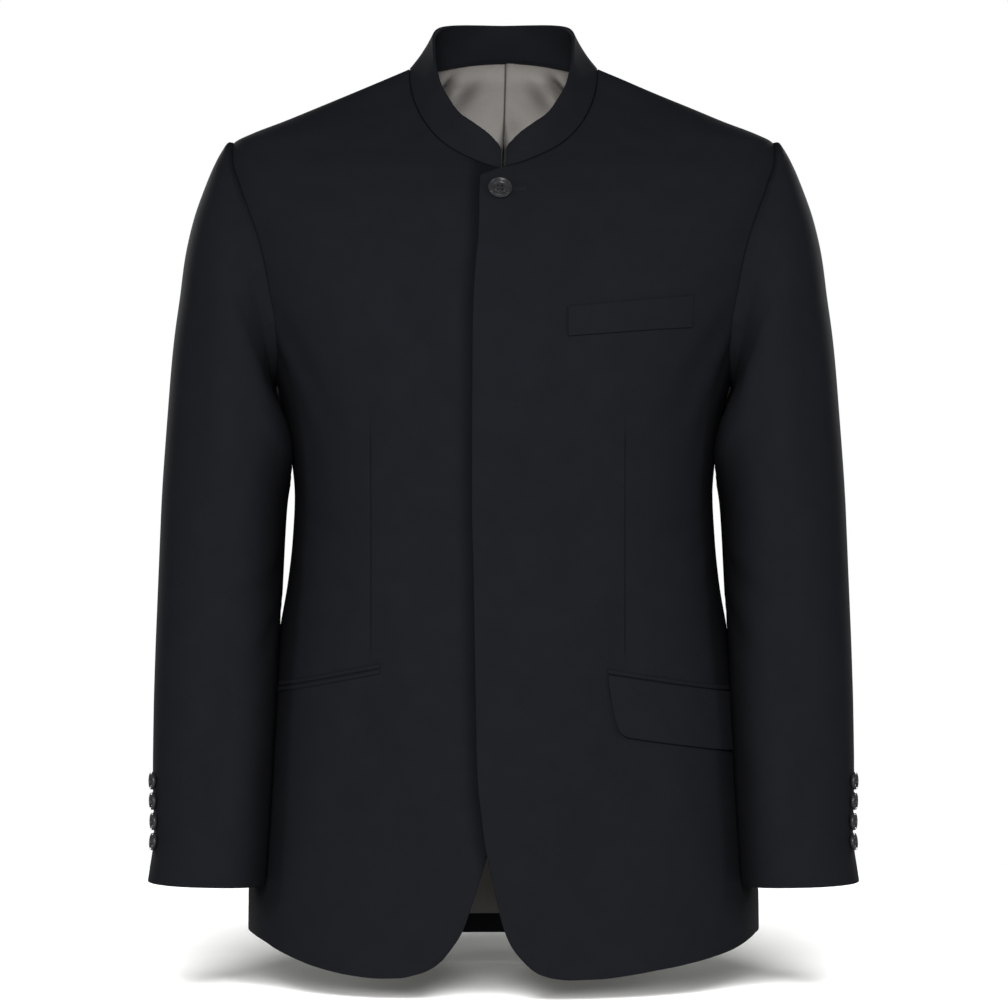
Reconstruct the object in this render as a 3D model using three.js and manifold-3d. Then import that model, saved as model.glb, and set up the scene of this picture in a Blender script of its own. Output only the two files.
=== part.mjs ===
// A men's single-breasted blazer with a band collar, filled out with no wearer.
// Millimetres, +Z up, front at -Y, +X on the wearer's left.
// The origin is level with the two points where the shoulder seams meet the collar.
import * as THREE from 'three';
import { mergeVertices } from 'three/addons/utils/BufferGeometryUtils.js';
import Module from 'manifold-3d';

// Cloth and seams
const CLOTH = 2.0;
const COLLAR_CLOTH = 2.6;
const LINING_CLOTH = 1.0;
const SEAM_INSET = 0.2;
const COLLAR_LIFT = 0.35;
const LINING_GAP = 0.7;
const UNDERARM_LIFT = 0.35;
const ARMHOLE_STEP = 15;
const POINTS_PER_MM = 500;
const PROBE = 2;

// Neck, armhole and hem
const NECK_HALF_WIDTH = 81;
const NECK_DROP = 90;
const NECK_POINT = 4.6;
const NECK_POINT_REACH = 34;
const SHOULDER_DROP = 63.5;
const ARMHOLE_DEPTH = 208.5;
const ARMHOLE_MID = -SHOULDER_DROP - ARMHOLE_DEPTH / 2;
const ARMHOLE_FRONT = 30;
const ARMHOLE_BACK = 27;
const BACK_RISE = 16;
const BACK_RISE_ENDS = -150;
const FRONT_FULLNESS = 0.2;
const BACK_FULLNESS = 0.15;
const BACK_HEM = -757;
const SIDE_HEM_RISE = 19;
const HEM_FACING = 18;

// Front lap, the wearer's left side over the right
const LAP_LIFT = 2.6;
const LAP_EDGE_LIFT = 3;
const LAP_FULL_X = 22;
const LAP_ENDS_X = 72;
const LAP_CORNER_LEVEL = -103;
const UNDER_CORNER_LEVEL = -98;

const COLOURS = {
  wool: { color: 0x1f2025, roughness: 0.9 },
  lining: { color: 0x85817e, roughness: 0.6 },
  button: { color: 0x2b2b2e, roughness: 0.42 },
};

const radians = THREE.MathUtils.degToRad;
const sind = (angle) => Math.sin(radians(angle));
const cosd = (angle) => Math.cos(radians(angle));
const lerp = (from, to, share) => from + (to - from) * share;
const clamp01 = (value) => Math.min(1, Math.max(0, value));
const ease = (value) => clamp01(value) ** 2 * (3 - 2 * clamp01(value));

function table(columns, rows) {
  return rows.map((row) => Object.fromEntries(columns.map((name, k) => [name, row[k]])));
}

// A smooth line through a table's points that never overshoots them.
function curve(rows, from, to) {
  const points = rows.map((row) => [row[from], row[to]]).sort((p, q) => p[0] - q[0]);
  const count = points.length;
  const gaps = [];
  const rises = [];
  for (let k = 0; k < count - 1; k += 1) {
    gaps.push(points[k + 1][0] - points[k][0]);
    rises.push((points[k + 1][1] - points[k][1]) / gaps[k]);
  }
  const slopes = points.map((_, k) => {
    if (k === 0) return rises[0];
    if (k === count - 1) return rises[count - 2];
    if (rises[k - 1] * rises[k] <= 0) return 0;
    const before = 2 * gaps[k] + gaps[k - 1];
    const after = gaps[k] + 2 * gaps[k - 1];
    return (before + after) / (before / rises[k - 1] + after / rises[k]);
  });
  return (at) => {
    if (at <= points[0][0]) return points[0][1];
    if (at >= points[count - 1][0]) return points[count - 1][1];
    let k = 0;
    while (at > points[k + 1][0]) k += 1;
    const t = (at - points[k][0]) / gaps[k];
    const start = (1 + 2 * t) * (1 - t) ** 2 * points[k][1] + t * (1 - t) ** 2 * gaps[k] * slopes[k];
    const end = t * t * (3 - 2 * t) * points[k + 1][1] + t * t * (t - 1) * gaps[k] * slopes[k + 1];
    return start + end;
  };
}

// The body's rings: half width at the sides, depth to the front and to the back.
const BODY = table(['level', 'width', 'front', 'back'], [
  [0, 81, 3, 65],
  [-10, 104.6, 12.8, 73.5],
  [-20, 128.2, 21.5, 80],
  [-30, 151.9, 30, 84.5],
  [-45, 188.5, 43, 90.5],
  [-56, 217, 52.5, 94.4],
  [-63.5, 231.5, 59, 96.8],
  [-75, 238.5, 69, 99.6],
  [-90, 243.5, 82, 103],
  [-110, 244, 95, 106.5],
  [-130, 241.5, 106, 109.3],
  [-155, 236, 116, 111.3],
  [-190, 226, 127, 112],
  [-233, 208, 134, 107.5],
  [-267, 196, 134.8, 101.8],
  [-300, 188, 133, 95],
  [-340, 181.5, 128.8, 87],
  [-366, 179.5, 126, 84],
  [-405, 181.3, 122.5, 84],
  [-440, 185, 121, 87],
  [-480, 191.8, 121, 92],
  [-520, 198, 121.8, 98],
  [-560, 203, 123.4, 103.6],
  [-600, 207.5, 125, 108],
  [-650, 213.5, 127.5, 112],
  [-706, 219, 130.2, 114],
  [-740, 219.3, 131.3, 115],
  [-780, 219.3, 132, 115],
]);

// The front edges and hems, measured from the centre front towards each piece's own side.
const LEFT_EDGE = table(['level', 'across'], [
  [-103, -19.7], [-155, -20.8], [-178, -23], [-220, -25], [-380, -25.8], [-420, -24.8],
  [-500, -23.4], [-580, -22], [-605, -21], [-628, -18.4], [-650, -15.8], [-663, -13.5],
  [-686, -8.6], [-709, -3.3], [-724, 0.9], [-736, 6.2], [-745, 12.4], [-750, 17],
]);
const LEFT_HEM = table(['across', 'level'], [
  [17, -750], [22, -755], [30.2, -760], [40.6, -763.2], [56, -765], [79, -764.6], [105, -762],
  [126, -759], [144, -756.6], [171, -752], [193, -747], [207, -742], [214.8, -738.3],
]);
const RIGHT_EDGE = table(['level', 'across'], [
  [-98, -20], [-500, -20], [-540, -14], [-600, -3], [-640, 7], [-663, 13.5], [-675, 16.8],
  [-688, 21], [-705, 26.4], [-725, 33.7], [-734, 39], [-744, 46.4], [-748.5, 50],
]);
const RIGHT_HEM = table(['across', 'level'], [
  [50, -748.5], [56, -753.5], [64, -758], [74.5, -761.5], [85, -763.8], [105, -764.6], [126, -763],
  [157.6, -757.4], [172.6, -753], [191, -746.5], [203, -741.5], [214.8, -738.3],
]);

// The sleeve's rings: its outer and inner lines, its middle and half depth front to back,
// how full its inner front corner is, the share of the armhole's own form that it keeps,
// and how far it stands off the body.
const SLEEVE = table(['outX', 'outZ', 'inX', 'inZ', 'middle', 'depth', 'full', 'keeps', 'clear'], [
  [231.5, -63.5, 196, -272, -6, 63, 2, 1, 0],
  [235.8, -62.8, 197.6, -275.5, -6, 64, 2, 0.82, 0.9],
  [242, -71, 198, -279.5, -6, 66, 2, 0.64, 2],
  [249, -85, 196, -285, -7, 68, 2.1, 0.46, 3],
  [257, -106, 192, -292, -9, 69, 2.4, 0.3, 3],
  [264.5, -130, 186, -300, -12, 69.5, 2.8, 0.18, 3],
  [272, -164, 180, -315, -15, 69, 3.2, 0.09, 3],
  [276.5, -199, 177.5, -332, -17, 68, 3.4, 0.03, 3],
  [281, -233, 180.5, -350, -18, 67, 3.2, 0, 3],
  [285, -275, 184.5, -374, -19, 65, 3, 0, 3],
  [289, -336, 186.5, -404, -21, 62.5, 3, 0, 3.4],
  [291.5, -385, 187.5, -432, -24, 60.5, 3, 0, 3.8],
  [294, -450, 189, -474, -29, 58, 3.2, 0, 4.4],
  [296.5, -545, 192, -556, -40, 52, 3.4, 0, 5],
  [296, -605, 194.5, -612, -48, 48, 3.4, 0, 5],
  [294.5, -650, 196.5, -653, -55, 45, 3.2, 0, 5],
  [299.2, -691, 198.5, -693, -61, 43, 3, 0, 5],
]);
// The two sleeve seams, as angles round the rings, from the shoulder by the front.
const SLEEVE_SEAMS = table(['ring', 'back', 'front'], [
  [0, -75, 120],
  [6, -66, 130],
  [11, -45, 145],
  [16, -2, 165],
]);
const LAST_RING = SLEEVE.length - 1;
const TOP_STEPS = 13;
const UNDER_STEPS = 11;

// The collar's top edge by the neckline's own angle: 90 at the centre front, 0 at the
// shoulder seam and -90 at the centre back.
const COLLAR_TOP = table(['turn', 'x', 'y', 'z'], [
  [90, 2, -76.5, -74.4],
  [82.5, 12.3, -75, -63.4],
  [75, 22.6, -72, -55.6],
  [60, 37.5, -61.5, -44],
  [45, 46.5, -50, -30.5],
  [30, 55, -37.5, -13.5],
  [15, 59.6, -20, 9.5],
  [0, 60.6, 0, 29.5],
  [-18, 56.5, 19, 38.5],
  [-36, 46, 36, 43],
  [-54, 31.5, 48.5, 45.2],
  [-72, 16, 55.8, 46],
  [-90, 0, 58, 46],
]);
const COLLAR_END = 2;
const COLLAR_LAST_TURN = Math.acos(COLLAR_END / NECK_HALF_WIDTH) * 180 / Math.PI;
const COLLAR_BULGE = 1.2;
const COLLAR_ROWS = 3;

const bodyWidth = curve(BODY, 'level', 'width');
const bodyFront = curve(BODY, 'level', 'front');
const bodyBack = curve(BODY, 'level', 'back');
const leftEdge = curve(LEFT_EDGE, 'level', 'across');
const rightEdge = curve(RIGHT_EDGE, 'level', 'across');
const leftHem = curve(LEFT_HEM, 'across', 'level');
const rightHem = curve(RIGHT_HEM, 'across', 'level');

// A point of the body's outer surface. The turn is 0 at the centre front, 90 at the
// wearer's left side, -90 at the right side and 180 at the centre back.
function body(level, turn) {
  const s = sind(turn);
  const c = cosd(turn);
  const x = bodyWidth(level) * s;
  if (c >= 0) {
    return new THREE.Vector3(x, -bodyFront(level) * c * (1 + FRONT_FULLNESS * s * s), level);
  }
  const rise = BACK_RISE * ease(1 - level / BACK_RISE_ENDS);
  return new THREE.Vector3(
    x, -bodyBack(level) * c * (1 + BACK_FULLNESS * s * s), level + rise * c * c);
}

function normalOf(surface, level, turn) {
  const across = surface(level, turn + PROBE).sub(surface(level, turn - PROBE));
  const up = surface(Math.min(0, level + PROBE), turn).sub(surface(level - PROBE, turn));
  return across.cross(up).normalize();
}

// The left front laps over the right one, so it stands off the body's surface there.
function leftFront(level, turn) {
  const point = body(level, turn);
  const share = ease((LAP_ENDS_X - point.x) / (LAP_ENDS_X - LAP_FULL_X));
  const edge = ease((LAP_FULL_X - point.x) / (2 * LAP_FULL_X));
  const lift = LAP_LIFT * share + LAP_EDGE_LIFT * edge;
  return point.addScaledVector(normalOf(body, level, turn), lift);
}

// The turn of the point that lies a distance across from the centre.
function turnAt(across, level) {
  return THREE.MathUtils.radToDeg(Math.asin(Math.max(-1, Math.min(1, across / bodyWidth(level)))));
}

// The armhole, from 0 at the shoulder's tip by the front to 180 at the underarm.
function armhole(angle) {
  const reach = sind(angle) > 0 ? ARMHOLE_FRONT : ARMHOLE_BACK;
  return {
    level: ARMHOLE_MID + (ARMHOLE_DEPTH / 2) * cosd(angle),
    turn: 90 - reach * sind(angle),
  };
}

function sideFrontSeam(level) {
  return lerp(75, 84, ease((level + 258) / (-366 + 258)));
}
function sideBackSeam(level) {
  return lerp(103.5, 124, ease((level + 258) / (-450 + 258)));
}
function backHem(turn) {
  return BACK_HEM + SIDE_HEM_RISE * sind(turn) ** 4;
}

// A closed mesh of one wall from its grids of outer and inner points. Rows run from the
// top down and columns so that the outer side faces out.
function wallMesh(name, outer, inner, finish, flip = false) {
  const rows = outer.length - 1;
  const columns = outer[0].length - 1;
  const positions = [];
  const lookup = new Map();
  const index = (point) => {
    const key = point.toArray().map((value) => Math.round(value * POINTS_PER_MM)).join();
    if (!lookup.has(key)) {
      lookup.set(key, positions.length / 3);
      positions.push(point.x, point.y, point.z);
    }
    return lookup.get(key);
  };
  const faces = [];
  const triangle = (a, b, c) => {
    if (a === b || b === c || c === a) return;
    faces.push(...(flip ? [a, c, b] : [a, b, c]));
  };
  // A quad is split along its shorter diagonal, so that walls that lie together bend alike.
  const quad = (p, q, r, s) => {
    const [a, b, c, d] = [p, q, r, s].map(index);
    if (p.distanceTo(r) <= q.distanceTo(s)) {
      triangle(a, b, c);
      triangle(a, c, d);
    } else {
      triangle(a, b, d);
      triangle(b, c, d);
    }
  };
  for (let i = 0; i < rows; i += 1) {
    for (let j = 0; j < columns; j += 1) {
      quad(outer[i][j], outer[i + 1][j], outer[i + 1][j + 1], outer[i][j + 1]);
      quad(inner[i][j], inner[i][j + 1], inner[i + 1][j + 1], inner[i + 1][j]);
    }
    quad(outer[i][0], inner[i][0], inner[i + 1][0], outer[i + 1][0]);
    quad(outer[i][columns], outer[i + 1][columns], inner[i + 1][columns], inner[i][columns]);
  }
  for (let j = 0; j < columns; j += 1) {
    quad(outer[0][j], outer[0][j + 1], inner[0][j + 1], inner[0][j]);
    quad(outer[rows][j], inner[rows][j], inner[rows][j + 1], outer[rows][j + 1]);
  }
  const geometry = new THREE.BufferGeometry();
  geometry.setAttribute('position', new THREE.Float32BufferAttribute(positions, 3));
  geometry.setIndex(faces);
  return named(name, geometry, finish);
}

function named(name, geometry, finish) {
  const material = new THREE.MeshStandardMaterial({ ...COLOURS[finish], metalness: 0 });
  const mesh = new THREE.Mesh(geometry, material);
  mesh.name = name;
  return mesh;
}

// Draws a grid's seams in, so that neighbours stay a hair apart.
function inset(grid, sides) {
  const rows = grid.length - 1;
  const columns = grid[0].length - 1;
  const toward = (point, target) => {
    const away = point.distanceTo(target);
    return away > 0 ? point.clone().lerp(target, Math.min(0.45, SEAM_INSET / away)) : point.clone();
  };
  const result = grid.map((row) => row.map((point) => point.clone()));
  const apply = (i, j, k, l) => {
    result[i][j].add(toward(grid[i][j], grid[k][l])).sub(grid[i][j]);
  };
  for (let i = 0; i <= rows; i += 1) {
    if (sides.includes('first')) apply(i, 0, i, 1);
    if (sides.includes('last')) apply(i, columns, i, columns - 1);
  }
  for (let j = 0; j <= columns; j += 1) {
    if (sides.includes('top')) apply(0, j, 1, j);
    if (sides.includes('point')) apply(0, j, 1, Math.round(columns / 2));
  }
  return result;
}

// A cut panel of the body: a grid of (level, turn) places put on a surface.
function panel(name, places, surface, sides, options = {}) {
  const { thickness = CLOTH, finish = 'wool', sink = 0 } = options;
  const grid = places.map((row) => row.map(({ level, turn }) => surface(level, turn)));
  const normals = places.map((row) => row.map(({ level, turn }) => normalOf(surface, level, turn)));
  const drawn = inset(grid, sides);
  const outer = drawn.map((row, i) => row.map((p, j) => p.clone().addScaledVector(normals[i][j], -sink)));
  const inner = outer.map((row, i) => row.map((p, j) => (
    p.clone().addScaledVector(normals[i][j], -thickness))));
  const flip = places[1][0].turn > places[1][places[1].length - 1].turn;
  return wallMesh(name, outer, inner, finish, flip);
}

const mix = (p, q, share) => ({ level: lerp(p.level, q.level, share), turn: lerp(p.turn, q.turn, share) });

// Fills the places between four border lines.
function patch(top, bottom, first, last, u, v, i, j) {
  const across = mix(first[i], last[i], u);
  const down = mix(top[j], bottom[j], v);
  const corners = mix(
    mix(top[0], top[top.length - 1], u), mix(bottom[0], bottom[bottom.length - 1], u), v);
  return {
    level: across.level + down.level - corners.level,
    turn: across.turn + down.turn - corners.turn,
  };
}

const SHOULDER_LEVELS = [0, -16, -32, -48, -SHOULDER_DROP];
const SIDE_LEVELS = [-290, -330, -366, -405, -450, -500, -550, -600, -640];
const LAST_STRAIGHT = -640;
const FRONT_SHARES = [0, 0.035, 0.08, 0.14, 0.22, 0.31, 0.4, 0.5, 0.6, 0.7, 0.8, 0.9, 1];
const BACK_SHARES = [0, 0.12, 0.25, 0.38, 0.51, 0.64, 0.76, 0.88, 1];
const LOWER_SHARES = [0, 0.34, 0.6, 0.82, 1];

function armholeAngles(from, to) {
  const angles = [];
  for (let angle = from; Math.abs(angle - to) > 1e-6; angle += Math.sign(to - from) * ARMHOLE_STEP) {
    angles.push(angle);
  }
  return [...angles, to];
}

// The neckline's level at one of its own turns, coming to a point at the centre front.
function neckLevel(angle) {
  const near = Math.max(0, 1 - NECK_HALF_WIDTH * cosd(angle) / NECK_POINT_REACH);
  return -NECK_DROP * sind(angle) - NECK_POINT * near ** 1.5;
}

// Where a front panel's rows start: along the neckline, then down its front edge.
function frontStarts(edge, cornerLevel, rowCount) {
  const starts = COLLAR_TOP.filter(({ turn }) => turn >= 0).reverse().map(({ turn: angle }) => {
    const level = neckLevel(angle);
    return { level, turn: turnAt(NECK_HALF_WIDTH * cosd(angle), level) };
  });
  const underarm = armhole(150).level;
  const left = rowCount - starts.length;
  for (let k = 0; k < left; k += 1) {
    const level = lerp(cornerLevel, underarm, k / (left - 1));
    starts.push({ level, turn: turnAt(edge(level), level) });
  }
  return starts;
}

function frontPlaces(edge, hem, cornerLevel) {
  const ends = [
    ...SHOULDER_LEVELS.slice(0, -1).map((level) => ({ level, turn: 90 })),
    ...armholeAngles(0, 150).map(armhole),
  ];
  const starts = frontStarts(edge, cornerLevel, ends.length);
  for (const level of SIDE_LEVELS) {
    starts.push({ level, turn: turnAt(edge(level), level) });
    ends.push({ level, turn: sideFrontSeam(level) });
  }
  const places = starts.map((start, i) => FRONT_SHARES.map((share) => mix(start, ends[i], share)));
  // Below the hip the rows bend into the rounded corner of the front edge.
  const cornerAcross = edge === leftEdge ? LEFT_HEM[0].across : RIGHT_HEM[0].across;
  const corner = { level: hem(cornerAcross), turn: turnAt(cornerAcross, hem(cornerAcross)) };
  const sideTurn = sideFrontSeam(LAST_STRAIGHT);
  const top = places[places.length - 1];
  const bottom = FRONT_SHARES.map((share) => {
    const turn = lerp(corner.turn, sideTurn, share ** 1.15);
    return { level: hem(bodyWidth(BACK_HEM) * sind(turn)), turn };
  });
  const first = LOWER_SHARES.map((share) => {
    const level = lerp(LAST_STRAIGHT, corner.level, share);
    return { level, turn: turnAt(edge(level), level) };
  });
  const last = LOWER_SHARES.map((share) => (
    { level: lerp(LAST_STRAIGHT, backHem(sideTurn), share), turn: sideTurn }));
  for (let i = 1; i < LOWER_SHARES.length; i += 1) {
    places.push(FRONT_SHARES.map((share, j) => (
      patch(top, bottom, first, last, share, LOWER_SHARES[i], i, j))));
  }
  return places;
}

function backPlaces() {
  const ends = [
    ...SHOULDER_LEVELS.slice(0, -1).map((level) => ({ level, turn: 90 })),
    ...armholeAngles(360, 210).map(armhole),
  ];
  const starts = [];
  for (let k = 0; k <= 5; k += 1) {
    starts.push({ level: 0, turn: 90 + 18 * k });
  }
  const left = ends.length - starts.length;
  for (let k = 1; k <= left; k += 1) {
    starts.push({ level: lerp(0, armhole(210).level, (k / left) ** 0.9), turn: 180 });
  }
  for (const level of SIDE_LEVELS) {
    starts.push({ level, turn: 180 });
    ends.push({ level, turn: sideBackSeam(level) });
  }
  const places = starts.map((start, i) => BACK_SHARES.map((share) => mix(start, ends[i], share)));
  for (const share of LOWER_SHARES.slice(1)) {
    places.push(places[starts.length - 1].map(({ turn }) => (
      { level: lerp(LAST_STRAIGHT, backHem(turn), share), turn })));
  }
  return places;
}

function sidePlaces() {
  const top = armholeAngles(150, 210).map(armhole);
  const underarm = top[0].level;
  const places = [top];
  const shares = top.map((_, j) => j / (top.length - 1));
  SIDE_LEVELS.forEach((level, i) => {
    const sag = i === 0 ? 0.45 : 0;
    places.push(shares.map((share, j) => ({
      level: level + sag * (top[j].level - underarm),
      turn: lerp(sideFrontSeam(level), sideBackSeam(level), share),
    })));
  });
  const straight = places[places.length - 1];
  for (const share of LOWER_SHARES.slice(1)) {
    places.push(straight.map(({ turn }) => (
      { level: lerp(LAST_STRAIGHT, backHem(turn), share), turn })));
  }
  return places;
}

const mirrored = (places) => places.map((row) => row.map(({ level, turn }) => ({ level, turn: -turn })));

// The half width of the body at a point's height and depth.
function bodyReach(y, z) {
  const depth = y < 0 ? bodyFront(z) : bodyBack(z);
  const fullness = y < 0 ? FRONT_FULLNESS : BACK_FULLNESS;
  const share = Math.min(1, Math.abs(y) / depth);
  let c = share;
  for (let k = 0; k < 8; k += 1) {
    c = Math.min(1, share / (1 + fullness * (1 - c * c)));
  }
  return bodyWidth(z) * Math.sqrt(1 - c * c);
}

const sleeveRows = SLEEVE.map((row, ring) => ({ ring, ...row }));
const sleeveLine = Object.fromEntries(
  Object.keys(SLEEVE[0]).map((column) => [column, curve(sleeveRows, 'ring', column)]));
const seamBack = curve(SLEEVE_SEAMS, 'ring', 'back');
const seamFront = curve(SLEEVE_SEAMS, 'ring', 'front');

function sleeveRing(ring, angle) {
  const line = (column) => sleeveLine[column](ring);
  const out = new THREE.Vector3(line('outX'), line('middle'), line('outZ'));
  const inside = new THREE.Vector3(line('inX'), line('middle'), line('inZ'));
  const point = out.clone().add(inside).multiplyScalar(0.5);
  const corner = angle > 90 && angle < 180 ? 2 / line('full') : 1;
  point.addScaledVector(out.sub(inside), 0.5 * Math.sign(cosd(angle)) * Math.abs(cosd(angle)) ** corner);
  point.y -= line('depth') * Math.sign(sind(angle)) * Math.abs(sind(angle)) ** corner;
  return point;
}

function armholePoint(angle) {
  const { level, turn } = armhole(angle);
  return body(level, turn);
}

// The left sleeve's outer surface. Ring 0 is the armhole itself.
function sleeve(ring, angle) {
  const turned = ((angle % 360) + 360) % 360;
  const point = sleeveRing(ring, turned);
  const keeps = sleeveLine.keeps(ring);
  if (keeps > 0) {
    const held = armholePoint(turned).sub(sleeveRing(0, turned));
    point.addScaledVector(held, keeps);
  }
  const clear = sleeveLine.clear(ring);
  if (clear > 0) {
    const least = bodyReach(point.y, point.z) + clear;
    if (point.x < least) point.x = least;
  }
  return point;
}

// How the sleeve's wall ends at the armhole, a hair off the panels' edge.
function sleeveHead(angle) {
  const turned = ((angle % 360) + 360) % 360;
  const { level, turn } = armhole(turned);
  const edge = armholePoint(turned);
  const out = normalOf(body, level, turn);
  const along = armholePoint(turned + 3).sub(armholePoint(turned - 3)).normalize();
  const away = along.clone().cross(out).normalize();
  const centre = sleeveRing(0, 90).add(sleeveRing(0, 270)).multiplyScalar(0.5);
  if (away.dot(centre.sub(edge)) < 0) away.negate();
  const under = Math.max(0, -cosd(turned)) ** 2;
  const point = edge.clone().addScaledVector(away, SEAM_INSET * 1.3);
  point.addScaledVector(out, UNDERARM_LIFT * under);
  const cloth = sleeveNormal(0, turned);
  cloth.addScaledVector(away, -Math.max(0, cloth.dot(away))).normalize();
  return { point, cloth };
}

function sleeveNormal(ring, angle) {
  const down = sleeve(Math.min(LAST_RING, ring + 0.3), angle).sub(sleeve(Math.max(0, ring - 0.3), angle));
  const round = sleeve(ring, angle + 4).sub(sleeve(ring, angle - 4));
  return round.cross(down).normalize();
}

function sleevePiece(name, steps, angleOf, side) {
  const grid = [];
  const normals = [];
  for (let ring = 0; ring < SLEEVE.length; ring += 1) {
    const angles = Array.from({ length: steps + 1 }, (_, k) => angleOf(ring, k / steps));
    if (ring === 0) {
      const heads = angles.map(sleeveHead);
      grid.push(heads.map(({ point }) => point));
      normals.push(heads.map(({ cloth }) => cloth));
    } else {
      grid.push(angles.map((angle) => sleeve(ring, angle)));
      normals.push(angles.map((angle) => sleeveNormal(ring, angle)));
    }
  }
  const outer = inset(grid, ['first', 'last']);
  const inner = outer.map((row, i) => row.map((p, j) => p.clone().addScaledVector(normals[i][j], -CLOTH)));
  for (const row of [...outer, ...inner]) {
    for (const point of row) point.x *= side;
  }
  return wallMesh(name, outer, inner, 'wool', side > 0);
}

function sleeves() {
  const topAngle = (ring, share) => lerp(seamBack(ring), seamFront(ring), share);
  const underAngle = (ring, share) => lerp(seamFront(ring), seamBack(ring) + 360, share);
  return [['left', 1], ['right', -1]].flatMap(([word, side]) => [
    sleevePiece(`sleeve_top_${word}`, TOP_STEPS, topAngle, side),
    sleevePiece(`sleeve_under_${word}`, UNDER_STEPS, underAngle, side),
  ]);
}

// The neckline's point and the direction its panel would go on in, at a collar turn.
function neckline(turn, side) {
  const surface = side > 0 ? leftFront : body;
  if (turn >= 0) {
    const angle = Math.min(turn, COLLAR_LAST_TURN);
    const level = neckLevel(angle);
    return surface(level, side * turnAt(NECK_HALF_WIDTH * cosd(angle), level));
  }
  return body(0, side * (90 - turn));
}

function collar() {
  const columns = [];
  for (const { turn, x, y, z } of COLLAR_TOP) {
    columns.push({ turn, side: 1, top: new THREE.Vector3(x, y, z) });
  }
  for (const { turn, x, y, z } of COLLAR_TOP.slice(0, -1).reverse()) {
    columns.push({ turn, side: -1, top: new THREE.Vector3(-x, y, z) });
  }
  const outer = [];
  for (let i = 0; i <= COLLAR_ROWS; i += 1) {
    const share = 1 - i / COLLAR_ROWS;
    outer.push(columns.map(({ turn, side, top }) => {
      const base = neckline(turn, side);
      const rise = top.clone().sub(base);
      base.addScaledVector(rise.clone().normalize(), COLLAR_LIFT);
      const point = base.clone().lerp(top, share);
      const out = new THREE.Vector3(point.x, point.y - 10, 0).normalize();
      return point.addScaledVector(out, COLLAR_BULGE * 4 * share * (1 - share) * (top.z > -70 ? 1 : 0));
    }));
  }
  const inner = outer.map((row, i) => row.map((point, j) => {
    const left = row[Math.max(0, j - 1)];
    const right = row[Math.min(row.length - 1, j + 1)];
    const up = outer[Math.max(0, i - 1)][j];
    const down = outer[Math.min(COLLAR_ROWS, i + 1)][j];
    const cloth = right.clone().sub(left).cross(up.clone().sub(down)).normalize();
    return point.clone().addScaledVector(cloth, -COLLAR_CLOTH);
  }));
  return wallMesh('collar', outer, inner, 'wool');
}

// The lining inside the back, from below the collar to the turned-up hem.
function backLining(places) {
  const rows = places.slice(5).map((row, i, all) => {
    const atHem = i === all.length - 1;
    const kept = row.map(({ level, turn }) => (
      { level: atHem ? level + HEM_FACING : level, turn }));
    const other = kept.slice(1).map(({ level, turn }) => ({ level, turn: 360 - turn }));
    return [...kept.reverse(), ...other];
  });
  return panel('lining_back', rows, body, [], {
    thickness: LINING_CLOTH, finish: 'lining', sink: CLOTH + LINING_GAP,
  });
}

// A flat piece on a panel, made from the panel's own surface and moved out from it.
function applied(name, surface, side, outline, options) {
  const { columns, rows, lift, thickness } = options;
  const place = (u, v) => {
    const { turn, level } = outline(u, v);
    return { level, turn: side * turn };
  };
  const outer = [];
  const inner = [];
  for (let i = 0; i <= rows; i += 1) {
    const places = Array.from({ length: columns + 1 }, (_, j) => place(j / columns, i / rows));
    const points = places.map(({ level, turn }) => ({
      at: surface(level, turn), out: normalOf(surface, level, turn),
    }));
    outer.push(points.map(({ at, out }) => at.clone().addScaledVector(out, lift + thickness)));
    inner.push(points.map(({ at, out }) => at.clone().addScaledVector(out, lift)));
  }
  return wallMesh(name, outer, inner, 'wool', side < 0);
}

const WELT = { from: 52.6, to: 157.5, topStart: -211.7, topEnd: -201, endsIn: 1.5,
  deepStart: 24.8, deepEnd: 26.6 };
const POCKET_TURN = 79;
const JET = { height: 4.2, apart: 0.6 };
const RIGHT_POCKET = { from: 102, start: -505.6, end: -523.5 };
const LEFT_POCKET = { from: 86.2, start: -514.9, end: -532 };
const POCKET_SLOPE_TO = 185;
const FLAP = { depth: 50, length: 140, corner: 10, lean: 4, crowding: 1.6 };
const LOW_LIFT = 0.5;

// A place on a hip pocket's slanted line: 0 at its inner end and 1 at the side.
function pocketLine({ from, start, end }, share) {
  const turn = lerp(turnAt(from, start), POCKET_TURN, share);
  const across = bodyWidth(start) * sind(turn);
  return { turn, level: lerp(start, end, (across - from) / (POCKET_SLOPE_TO - from)) };
}

function breastWelt() {
  const outline = (u, v) => {
    const across = lerp(WELT.from, WELT.to - WELT.endsIn * v, u);
    const top = lerp(WELT.topStart, WELT.topEnd, u);
    const level = top - v * lerp(WELT.deepStart, WELT.deepEnd, u);
    return { level, turn: turnAt(across, level) };
  };
  return applied('breast_welt', leftFront, 1, outline,
    { columns: 8, rows: 2, lift: LOW_LIFT, thickness: 1.6 });
}

function jet(name, surface, side, pocket, drop) {
  const outline = (u, v) => {
    const { turn, level } = pocketLine(pocket, u);
    return { turn, level: level - drop - v * JET.height };
  };
  return applied(name, surface, side, outline,
    { columns: 10, rows: 1, lift: LOW_LIFT, thickness: 1 });
}

function pocketFlap() {
  const outline = (u, v) => {
    const along = FLAP.length * u ** FLAP.crowding;
    const near = Math.max(0, 1 - along / FLAP.corner);
    const depth = FLAP.depth - FLAP.corner * (1 - Math.sqrt(1 - near * near));
    const lean = (FLAP.lean * v * v * (1 - u)) / FLAP.length;
    const { turn, level } = pocketLine(LEFT_POCKET, lerp(u ** FLAP.crowding, 1, lean));
    return { turn, level: level - v * depth };
  };
  return applied('pocket_flap', leftFront, 1, outline,
    { columns: 13, rows: 5, lift: LOW_LIFT, thickness: 2 });
}

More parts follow.
